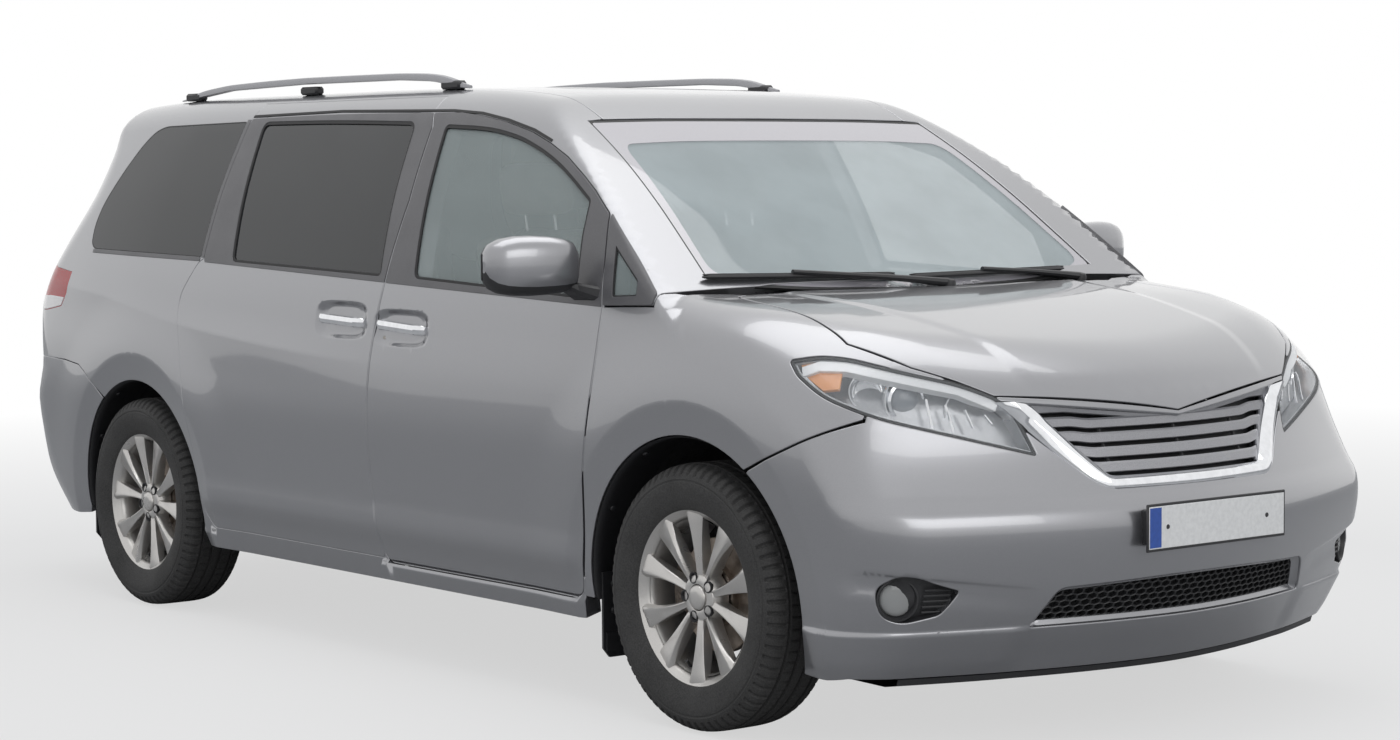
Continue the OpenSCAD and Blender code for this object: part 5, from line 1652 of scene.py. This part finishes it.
def rim_mesh():
    """Alloy wheel about the z axis, outer side up: barrel, ten spokes in five pairs, blank cap."""
    s = Shape()
    s.lathe([(231, -96), (239, -98), (240, -90), (231, -84), (214, -66), (208, -40), (208, 40), (211, 70),
             (219, 84), (229, 90), (233, 96), (239.5, 99), (241, 96), (240, 90), (231, 84)],
            HUB, OUTWARD, 0, 96)
    s.lathe([(206, -84), (203, -40), (203, 62), (209, 74)], HUB, OUTWARD, 0, 96)
    reach = np.array([38, 52, 72, 100, 135, 170, 200, 221, 229.0])
    wide = np.array([9, 10, 10.5, 12, 16, 22, 29, 35, 37.0])
    face = np.array([71, 74, 77, 80, 83.5, 86.5, 89, 90.5, 90.0])
    deep = np.array([44, 44, 43, 41, 38, 34, 29, 24, 20.0])
    for k in range(SPOKE_PAIRS):
        for hand in (-1, 1):
            base = 72 * k + 90
            rows = []
            for r, w, top, d in zip(reach, wide, face, deep):
                share = (r - 38) / 191
                angle = math.radians(base + hand * (13.5 + 4.5 * share))
                out = np.array([math.cos(angle), math.sin(angle), 0])
                along = np.array([-math.sin(angle), math.cos(angle), 0]) * hand
                ridge = 3.2 * (1 - 0.3 * share)
                ring = [(-w, top - 6), (-w * 0.86, top - 3.5), (w * 0.18, top - 1.0),
                        (w * 0.42, top + ridge * 0.6), (w * 0.66, top + ridge * 0.5),
                        (w * 0.92, top - 5), (w, top - 9), (w * 0.86, top - d), (-w * 0.86, top - d)]
                rows.append([out * r + along * a + np.array([0, 0, b]) for a, b in ring])
            rows = np.array(rows)
            if hand < 0:
                rows = rows[:, ::-1]
            s.grid(rows, 0, across=True, caps=True)
    s.lathe([(34, 60), (36, 78), (45, 80), (60, 75), (68, 62), (72, 44), (72, 30)], HUB, OUTWARD, 0, 60)
    s.lathe([(0, 87.5), (14, 87.2), (27, 85.6), (31.5, 83), (33.5, 79), (34, 70)], HUB, OUTWARD, 0, 48)
    for k in range(SPOKE_PAIRS):
        a = math.radians(72 * k + 54 + 72)
        c = np.array([54 * math.cos(a), 54 * math.sin(a), 0])
        s.lathe([(15, 72), (16, 79.5), (13, 80.5), (11.5, 77), (11, 52), (0, 51)], c, OUTWARD, 1, 24)
        s.lathe([(0, 70), (5, 70), (8.4, 68), (9, 66), (9, 50)], c, OUTWARD, 2, 6)
    a = math.radians(72 * 2 + 90 + 36)
    stem = np.array([math.cos(a), math.sin(a), 0])
    s.tube([stem * 206 + [0, 0, 52], stem * 196 + [0, 0, 62], stem * 184 + [0, 0, 74]], [6, 5, 4.5], 3, 10)
    return s


def placed(shape, centre, side, spin=0.0):
    """The wheel's shape laid on its axle: local z points outwards from the car."""
    p = np.asarray(shape.points)
    c, n = math.cos(spin), math.sin(spin)
    x, y, z = p.T
    x, y = x * c - y * n, x * n + y * c
    out = Shape()
    out.points = (np.stack([x * side, z * side, y], -1) + centre).tolist()
    out.faces = [list(f) for f in shape.faces]
    out.mats = list(shape.mats)
    return out


CALIPER_SECTION = ((98, 30), (112, 36), (150, 36), (164, 26), (166, -24), (150, -40), (104, -40), (98, -24))


def make_wheels():
    tyre, rim = tyre_mesh(), rim_mesh()
    spins = {"front_right": 0.30, "front_left": 0.95, "rear_right": 0.10, "rear_left": 0.6}
    for end in ("front", "rear"):
        for side, word in SIDES:
            name = f"{end}_{word}"
            low, high = (np.array(c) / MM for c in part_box(f"tyre_{name}"))
            centre = (low + high) / 2
            body = f"wheel_{name}"
            obj = placed(tyre, centre, side).done(f"tyre_{name}_tread", [TYRE], 32, merge=True)
            ride(obj, body, "tyre_rubber", f"tyre_{name}")
            obj = placed(rim, centre, side, spins[name]).done(
                f"rim_{name}_alloy", [ALLOY, UNDER, STEEL, BLACK], 34, merge=True)
            ride(obj, body, "alloy", f"rim_{name}")
            disc = Shape()
            big = 152 if end == "front" else 146
            disc.lathe([(62, 22), (62, 26), (84, 26), (86, 8), (big, 8), (big + 2, 6), (big + 2, -14),
                        (big, -16), (88, -16), (86, -14), (80, 8)], HUB, OUTWARD, 0, 72)
            disc.lathe([(0, 48), (40, 47), (60, 44), (64, 26)], HUB, OUTWARD, 1, 40)
            ride(placed(disc, centre, side).done(f"brake_disc_{name}", [DISC, IRON], 30, merge=True), body,
                 "cast_metal")
            rows = [[(math.cos(a) * r, math.sin(a) * r, h) for r, h in CALIPER_SECTION]
                    for a in np.linspace(-0.42, 0.42, 9) + 0.15]
            clamp = Shape().grid(rows, 0, across=True, caps=True)
            clamp.lathe([(0, 40), (17, 39), (20, 36), (20, 28)], (128, 12, 0), OUTWARD, 0, 20)
            carrier = f"knuckle_{word}" if end == "front" else "root"
            ride(placed(clamp, centre, side).done(f"brake_caliper_{name}", [IRON], 30, merge=True), carrier,
                 "cast_metal")


# ------------------------------------------------------------------ cabin
PAD_CUTS = 16
PAD_VOXEL = 0.008       # metres
PAD_PRESSURE = 4.0
PAD_FRAMES = 14
def pad_grid(size, crown=(0, 0, 0), corner=45.0):
    """A closed cushion form about the origin, crowned, with sides that pull in between corners."""
    half = np.array(size, float) / 2
    bm = bmesh.new()
    bmesh.ops.create_cube(bm, size=2.0)
    bmesh.ops.subdivide_edges(bm, edges=bm.edges, cuts=PAD_CUTS, use_grid_fill=True)
    q = np.array([v.co[:] for v in bm.verts])
    inner = np.maximum(half - corner, 4)
    base = np.clip(q * half, -inner, inner)
    d = q * half - base
    length = np.linalg.norm(d, axis=1, keepdims=True)
    longest = np.maximum(np.abs(d).max(1, keepdims=True), 1e-9)
    out = base + np.where(length > 1e-9, d / np.maximum(length, 1e-9) * longest, 0)
    u = out / half
    for axis in range(3):
        b, c = [k for k in range(3) if k != axis]
        swell = (1 - u[:, b] ** 2) * (1 - u[:, c] ** 2)
        out[:, axis] += u[:, axis] * crown[axis] * swell
    for v, co in zip(bm.verts, out):
        v.co = co * MM
    return bm


def swollen(bm, name, cap=0.024):
    mesh = bpy.data.meshes.new(name)
    bm.to_mesh(mesh)
    bm.free()
    obj = linked(name + "_work", mesh)
    remesh = obj.modifiers.new("remesh", "REMESH")
    remesh.mode, remesh.voxel_size = "VOXEL", PAD_VOXEL
    graph = bpy.context.evaluated_depsgraph_get()
    fine = bpy.data.meshes.new_from_object(obj.evaluated_get(graph))
    obj.modifiers.clear()
    obj.data = fine
    rest = np.array([v.co[:] for v in fine.vertices])
    cloth = obj.modifiers.new("cloth", "CLOTH")
    settings = cloth.settings
    settings.use_pressure, settings.uniform_pressure_force = True, PAD_PRESSURE
    settings.effector_weights.gravity = 0
    settings.quality = 4
    settings.tension_stiffness = settings.compression_stiffness = 18
    settings.bending_stiffness = 1.2
    settings.shrink_min = -0.02
    scene = bpy.context.scene
    scene.frame_start, scene.frame_end = 1, 20
    for frame_number in range(1, PAD_FRAMES + 1):
        scene.frame_set(frame_number)
    graph = bpy.context.evaluated_depsgraph_get()
    moved = bpy.data.meshes.new_from_object(obj.evaluated_get(graph))
    now = np.array([v.co[:] for v in moved.vertices])
    scene.frame_set(1)
    if len(now) == len(rest):
        shift = now - rest
        size = np.linalg.norm(shift, axis=1, keepdims=True)
        now = rest + shift * np.minimum(1, cap / np.maximum(size, 1e-9))
        moved.vertices.foreach_set("co", now.ravel())
    bpy.data.objects.remove(obj)
    return moved


def sewn(mesh, seams, depth=0.007, width=0.009):
    """Presses sewn channels into a pad.

    Each seam is (axis, value, axis it faces, low end, high end, axis it runs along), in metres."""
    p = np.array([v.co[:] for v in mesh.vertices])
    n = np.array([v.normal[:] for v in mesh.vertices])
    total = np.zeros(len(p))
    for axis, value, upper, low, high, along in seams:
        near = np.exp(-((p[:, axis] - value) / width) ** 2)
        near *= (n[:, upper] > 0.35) * step_up(p[:, along], low, low + 0.02)
        near *= 1 - step_up(p[:, along], high - 0.02, high)
        total = np.maximum(total, near)
    p -= n * (total * depth)[:, None]
    mesh.vertices.foreach_set("co", p.ravel())
    mesh.update()


def pad_object(mesh, name, matrix, nodes):
    """One placed copy of a pad, in the woven fabric."""
    copy = mesh.copy()
    copy.name = name
    copy.transform(matrix)
    copy.materials.clear()
    copy.materials.append(FABRIC)
    copy.polygons.foreach_set("use_smooth", np.ones(len(copy.polygons), bool))
    obj = linked(name, copy)
    return ride(obj, "root", "seat_fabric", *nodes)


def seat_pads(width):
    """Cushion, back and headrest meshes for one seat width, sewn and swollen."""
    w = width - 26
    cushion = pad_grid((500, w, 118), crown=(0, 0, 16), corner=48)
    cushion = swollen(cushion, f"cushion_{width}")
    half = w / 2 * MM
    sewn(cushion, [(1, s * half * 0.56, 2, -0.23, 0.22, 0) for s in (-1, 1)]
         + [(0, v, 2, -half * 0.58, half * 0.58, 1) for v in (-0.09, 0.06)])
    back = pad_grid((92, w - 20, 560), crown=(14, 0, 0), corner=40)
    back = swollen(back, f"back_{width}")
    sewn(back, [(1, s * half * 0.54, 0, -0.26, 0.27, 2) for s in (-1, 1)]
         + [(2, v, 0, -half * 0.56, half * 0.56, 1) for v in (-0.10, 0.10)])
    rest = pad_grid((72, 250, 150), crown=(8, 0, 6), corner=34)
    rest = swollen(rest, f"headrest_{width}", cap=0.010)
    return cushion, back, rest


def make_seats():
    rows = [("front_left", 560, 400, 520, 330, False), ("front_right", 560, -400, 520, 330, False),
            ("second_left", -400, 400, 500, 330, False), ("second_right", -400, -400, 500, 330, False),
            ("bench", -1330, 0, 1060, 471, True)]
    made = {}
    tilt = Matrix.Rotation(math.radians(-2.5), 4, "Y")
    lean_back = Matrix.Rotation(math.radians(-13.5), 4, "Y")
    for name, x, y, width, foot, bench in rows:
        if width not in made:
            made[width] = seat_pads(width)
        cushion, back, rest = made[width]
        nodes = ["rear_bench"] if bench else ["captain_seats"]
        spots = (-330, 0, 330) if bench else (0,)
        at = Matrix.Translation(Vector((x, y, 0)) * MM)
        pad_object(cushion, f"seat_{name}_cushion", at @ Matrix.Translation((0.004, 0, 0.635)) @ tilt, nodes)
        pad_object(back, f"seat_{name}_back", at @ Matrix.Translation((-0.368, 0, 1.010)) @ lean_back, nodes)
        for spot in spots:
            mark = f"_{spot}".replace("-", "m") if bench else ""
            pad_object(rest, f"seat_{name}_headrest{mark}",
                       at @ Matrix.Translation((-0.452, spot * MM, 1.428)) @ lean_back, nodes)
        frame_parts = Shape()
        half = width / 2 - 14
        frame_parts.box((x - 250, y - half, 548), (x + 235, y + half, 588), 14, 0)
        for rail_y in (y - (half - 30), y + (half - 30)):
            frame_parts.box((x - 235, rail_y - 22, foot), (x + 215, rail_y + 22, foot + 26), 6, 1)
            for leg_x in (x - 150, x + 110):
                frame_parts.box((leg_x, rail_y - 12, foot + 20), (leg_x + 60, rail_y + 12, 556), 5, 0)
        for spot in spots:
            for p in (-55, 55):
                frame_parts.tube([(x - 428, y + spot + p, 1300), (x - 446, y + spot + p, 1400)], 6.5, 2, 10)
        rows_back = []
        for z, push, inset in ((705, 292, 26), (760, 308, 14), (1000, 368, 14), (1240, 424, 22),
                               (1272, 430, 50)):
            w = half - inset
            rows_back.append([(x - push - 52 + d, y + v * w, z) for v, d in
                              ((-1, 40), (-1, 6), (-0.8, -6), (0, -10), (0.8, -6), (1, 6), (1, 40))])
        frame_parts.grid(rows_back, 0)
        ride(frame_parts.done(f"seat_{name}_frame", [DASH, UNDER, CHROME]), "root", "cabin_plastic", *nodes)


def make_dashboard():
    y = np.linspace(-765, 765, 61)
    hood_bump = 26 * np.exp(-((y - 400) / 190) ** 4)
    stack = np.exp(-(y / 190) ** 4)
    profile = [(1250, 720), (1262, 1040), (1240, 1080), (1160, 1093), (1075, 1086), (985, 1052), (938, 1010),
               (918, 965), (924, 915), (945, 860), (960, 800), (985, 742), (1040, 705), (1150, 690)]
    rows = []
    for i, (x, z) in enumerate(profile):
        lift = hood_bump * (1.0 if i in (3, 4, 5) else 0.5 if i in (2, 6) else 0)
        push = stack * (-26 if 7 <= i <= 11 else 0)
        rows.append(np.stack([x + push, y, z + lift], -1))
    dash = Shape().grid(np.array(rows)[:, ::-1], 0)
    for v in (-700, 700):
        side_face = [(x, v * 765 / 700, z) for x, z in profile]
        dash.add(side_face, [list(range(len(side_face)))[::(1 if v > 0 else -1)]], 0)
    dash.box((896, -118, 905), (916, 118, 1030), 5, 1)
    dash.box((893, -108, 915), (898, 108, 1020), 2, 2)
    for v in (-640, -190, 190, 640):
        dash.box((918, v - 52, 972), (934, v + 52, 1010), 5, 1)
        for k in range(4):
            dash.box((914, v - 46, 977 + 8 * k), (922, v + 46, 980 + 8 * k), 1, 0)
    for v in (340, 460):
        dash.lathe([(0, -4), (48, -4), (50, 2), (56, 4), (58, -12)], (938, v, 1012), (-1, 0, 0.35), 2, 30)
    for v in (-60, 0, 60):
        dash.lathe([(0, 20), (15, 20), (18, 16), (19, 0)], (925, v, 868), (-1, 0, 0.15), 1, 20)
    ride(dash.done("dashboard_top", [DASH, TRIM, SCREEN]), "root", "cabin_plastic", "dashboard")


def make_console():
    console = Shape()
    console.box((852, -126, 562), (1078, 126, 770), 22, 0)
    console.tube([(900, 30, 764), (888, 30, 830), (884, 30, 868)], [9, 8, 8], 1, 10)
    console.lathe([(0, 30), (18, 26), (22, 10), (16, -8), (9, -14)], (884, 30, 872), (-0.1, 0, 1), 1, 20)
    ride(console.done("centre_console", [DASH, CHROME]), "root", "cabin_plastic", "dashboard")


def make_steering_wheel():
    wheel = Shape()
    axis = np.array([-math.cos(math.radians(25)), 0, math.sin(math.radians(25))])
    centre = np.array([830.0, 400.0, 960.0])
    across = np.array([0, 1.0, 0])
    up = np.cross(axis, across)
    ring = []
    for a in np.linspace(0, 2 * math.pi, 60, endpoint=False):
        out = math.cos(a) * across + math.sin(a) * up
        ring.append([centre + 171 * out + 14.5 * (math.cos(b) * out + math.sin(b) * axis * 1.05)
                     for b in np.linspace(0, 2 * math.pi, 12, endpoint=False)])
    wheel.grid(np.array(ring), 0, across=True, along=True)
    wheel.lathe([(0, 20), (40, 18), (66, 8), (72, -8), (60, -30), (30, -44)], centre - axis * 6,
                tuple(axis), 1, 36)
    for a in (90, 200, 340):
        t = math.radians(a)
        out = math.cos(t) * across + math.sin(t) * up
        side_way = np.cross(axis, out)
        rows = []
        for r, w, h in ((58, 26, -2), (100, 19, -3), (140, 16, -2), (166, 17, 0)):
            rows.append([centre + out * r + side_way * w * p + axis * (h + q) for p, q in
                         ((-1, 0), (-0.7, 6), (0.7, 6), (1, 0), (0.7, -6), (-0.7, -6))])
        wheel.grid(rows, 1, across=True, caps=True)
    ride(wheel.done("steering_wheel_rim", [LEATHER, DASH], 60, merge=True), "steering_wheel",
         "cabin_plastic", "steering_wheel")


def make_cabin_lining():
    lining = on_top(dense([(560, -560), (-1930, -560), (-1930, 560), (560, 560)], 60))
    panel("roof_lining", FromAbove(), [lining], "root", "cabin_plastic", (), (INNER,), [0], depth=34,
          thick=8, edge=3, spacing=90)
    mirror = Shape()
    mirror.tube([(770, 0, 1560), (742, 0, 1535), (728, 0, 1505)], 8, 0, 10)
    mirror.box((716, -118, 1470), (742, 118, 1530), 12, 0)
    mirror.box((713, -108, 1478), (718, 108, 1522), 2, 1)
    ride(mirror.done("rear_view_mirror", [BLACK, MIRROR]), "root", "black_plastic")
    for side, word in SIDES:
        for name, body, x0, x1 in (("front", f"front_door_{word}", 170, 1010),
                                   ("sliding", "root", -850, -30)):
            card = Shape()
            x = np.linspace(x0, x1, 30)
            rows = []
            for z, push in ((380, 66), (520, 70), (560, 96), (620, 100), (660, 74), (820, 70), (860, 108),
                            (905, 112), (925, 80), (1080, 68), (1120, 66)):
                skin = on_side(np.stack([x, np.full_like(x, z)], -1), side)
                inset = push * np.clip(np.minimum(x - x0, x1 - x) / 60, 0, 1) ** 0.4
                rows.append(skin - np.stack([0 * x, side * np.maximum(inset, 60), 0 * x], -1))
            card.grid(np.array(rows), 0)
            spot = on_side([(x1 - 190, 985)], side)[0] - [0, side * 84, 0]
            card.box(spot - [60, 8, 14], spot + [60, 8, 14], 6, 1)
            ride(card.done(f"door_card_{name}_{word}", [INNER, CHROME]), body, "cabin_plastic")
        path = on_side([(60, z) for z in np.linspace(1480, 560, 14)], side) - [0, side * 88, 0]
        belt = Shape().grid([path - [22, 0, 0], path + [22, 0, 0]], 0)
        ride(belt.done(f"seat_belt_{word}", [SEAL]), "root", "black_plastic")


def dress_kept_nodes():
    """Better materials for the CAD nodes that stay."""
    kept = {"floor_pan": UNDER, "engine_block": IRON, "front_subframe": UNDER, "rear_axle": UNDER,
            "exhaust": STEEL, "knuckle_left": IRON, "knuckle_right": IRON}
    for node, material in kept.items():
        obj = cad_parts[node]
        obj.data.materials.clear()
        obj.data.materials.append(material)
    mat = Shape()
    mat.grid([[(x, y, 333 + 3 * ((i + j) % 2)) for j, y in enumerate(np.linspace(-800, 800, 30))]
              for i, x in enumerate(np.linspace(1110, -1010, 42))], 0)
    ride(mat.done("floor_carpet", [CARPET]), "root", "cabin_plastic")
    cover = Shape()
    rows = []
    for x, z, w in ((1940, 900, 300), (1930, 948, 312), (1880, 962, 318), (1500, 972, 318),
                    (1400, 966, 312), (1392, 930, 300)):
        rows.append([(x, s * w, z - abs(s) ** 6 * 26) for s in np.linspace(-1, 1, 15)])
    cover.grid(rows, 0)
    for s in (-200, -100, 0, 100, 200):
        cover.tube([(1880, s, 966), (1500, s, 976)], 9, 0, 8)
    ride(cover.done("engine_cover", [BLACK]), "root", "black_plastic")


make_sides()
FOG_LOOPS = {side: front_loop([(side * p[0],) + p[1:] for p in FOG_HOLE]) for side in (RIGHT, LEFT)}
LOWER_LOOP = front_loop(mirrored(LOWER_GRILLE))
make_hood()
make_front_bumper(FOG_LOOPS, LOWER_LOOP)
make_windshield()
make_roof()
make_tailgate()
make_rear_bumper()
make_tail_lamps()
make_gate_fittings()
make_headlamps()
make_fog_lamps(FOG_LOOPS)
make_grille_surround()
make_grille_slats()
make_lower_grille(LOWER_LOOP)
make_plate()
make_tray_lip()
make_arches_and_flaps()
make_handles()
make_mirrors()
make_roof_parts()
make_cowl_and_wipers()
make_wheels()
make_seats()
make_dashboard()
make_console()
make_steering_wheel()
make_cabin_lining()
dress_kept_nodes()


# ------------------------------------------------------------------ camera, light and floor
def make_camera():
    """The camera stands off the car's right front corner, a little below its roof."""
    yaw, pitch, roll = (math.radians(a) for a in (141.291, -3.937, -0.425))
    ahead = Vector((math.cos(pitch) * math.cos(yaw), math.cos(pitch) * math.sin(yaw), math.sin(pitch)))
    level = ahead.cross(Vector((0, 0, 1))).normalized()
    upward = level.cross(ahead)
    right = level * math.cos(roll) + upward * math.sin(roll)
    up = upward * math.cos(roll) - level * math.sin(roll)
    data = bpy.data.cameras.new("camera")
    data.lens, data.sensor_width = 75.11, 36.0
    data.clip_end = 100
    camera = linked("camera", data)
    camera.matrix_world = Matrix((right, up, -ahead)).transposed().to_4x4()
    camera.location = (7.555, -5.720, 1.487)
    bpy.context.scene.camera = camera


def area_light(name, place, aim, size, power):
    data = bpy.data.lights.new(name, "AREA")
    data.shape, data.size, data.size_y = "RECTANGLE", size[0], size[1]
    data.energy = power
    lamp = linked(name, data)
    lamp.location = place
    lamp.rotation_euler = (Vector(aim) - Vector(place)).to_track_quat("-Z", "Y").to_euler()


def make_floor():
    """Pale floor that keeps its shadow, and fades to white for the camera with distance."""
    bpy.ops.mesh.primitive_plane_add(size=80, location=(0, 0, -0.0005))
    floor = bpy.context.object
    floor.name = "floor"
    material, nodes, links = new_material("floor")
    set_shader(nodes, Base_Color=(0.44, 0.44, 0.44, 1), Roughness=0.9)
    glow = nodes.new("ShaderNodeEmission")
    glow.inputs["Color"].default_value = (1, 1, 1, 1)
    glow.inputs["Strength"].default_value = 1.0
    rays = nodes.new("ShaderNodeLightPath")
    where = nodes.new("ShaderNodeTexCoord")
    reach = nodes.new("ShaderNodeVectorMath")
    reach.operation = "LENGTH"
    links.new(where.outputs["Object"], reach.inputs[0])
    far = nodes.new("ShaderNodeMapRange")
    for key, value in (("From Min", 3.4), ("From Max", 9.5), ("To Min", 0.62), ("To Max", 1.0)):
        far.inputs[key].default_value = value
    links.new(reach.outputs["Value"], far.inputs["Value"])
    share = nodes.new("ShaderNodeMath")
    share.operation = "MULTIPLY"
    links.new(far.outputs["Result"], share.inputs[1])
    links.new(rays.outputs["Is Camera Ray"], share.inputs[0])
    mix = nodes.new("ShaderNodeMixShader")
    links.new(share.outputs["Value"], mix.inputs["Fac"])
    links.new(nodes["Principled BSDF"].outputs["BSDF"], mix.inputs[1])
    links.new(glow.outputs["Emission"], mix.inputs[2])
    links.new(mix.outputs["Shader"], nodes["Material Output"].inputs["Surface"])
    floor.data.materials.append(material)


def make_world():
    """Soft even light, seen as plain white by the camera, in gloss and through glass."""
    world = bpy.data.worlds.new("studio")
    bpy.context.scene.world = world
    world.use_nodes = True
    nodes, links = world.node_tree.nodes, world.node_tree.links
    plain = nodes["Background"]
    plain.inputs["Color"].default_value = (0.86, 0.89, 0.94, 1)
    plain.inputs["Strength"].default_value = 0.66
    white = nodes.new("ShaderNodeBackground")
    white.inputs["Color"].default_value = (1, 1, 1, 1)
    rays = nodes.new("ShaderNodeLightPath")
    seen = rays.outputs["Is Camera Ray"]
    for other in ("Is Glossy Ray", "Is Transmission Ray"):
        either = nodes.new("ShaderNodeMath")
        either.operation = "MAXIMUM"
        links.new(seen, either.inputs[0])
        links.new(rays.outputs[other], either.inputs[1])
        seen = either.outputs["Value"]
    mix = nodes.new("ShaderNodeMixShader")
    links.new(seen, mix.inputs["Fac"])
    links.new(plain.outputs["Background"], mix.inputs[1])
    links.new(white.outputs["Background"], mix.inputs[2])
    links.new(mix.outputs["Shader"], nodes["World Output"].inputs["Surface"])


def make_lamps():
    area_light("sky", (0.5, 0, 6.5), (0, 0, 0), (7, 5), 190)
    area_light("front", (8.5, -1.5, 3.6), (1.5, 0, 0.7), (5, 3), 95)


make_camera()
make_floor()
make_world()
make_lamps()
bpy.context.scene.view_settings.view_transform = "Standard"
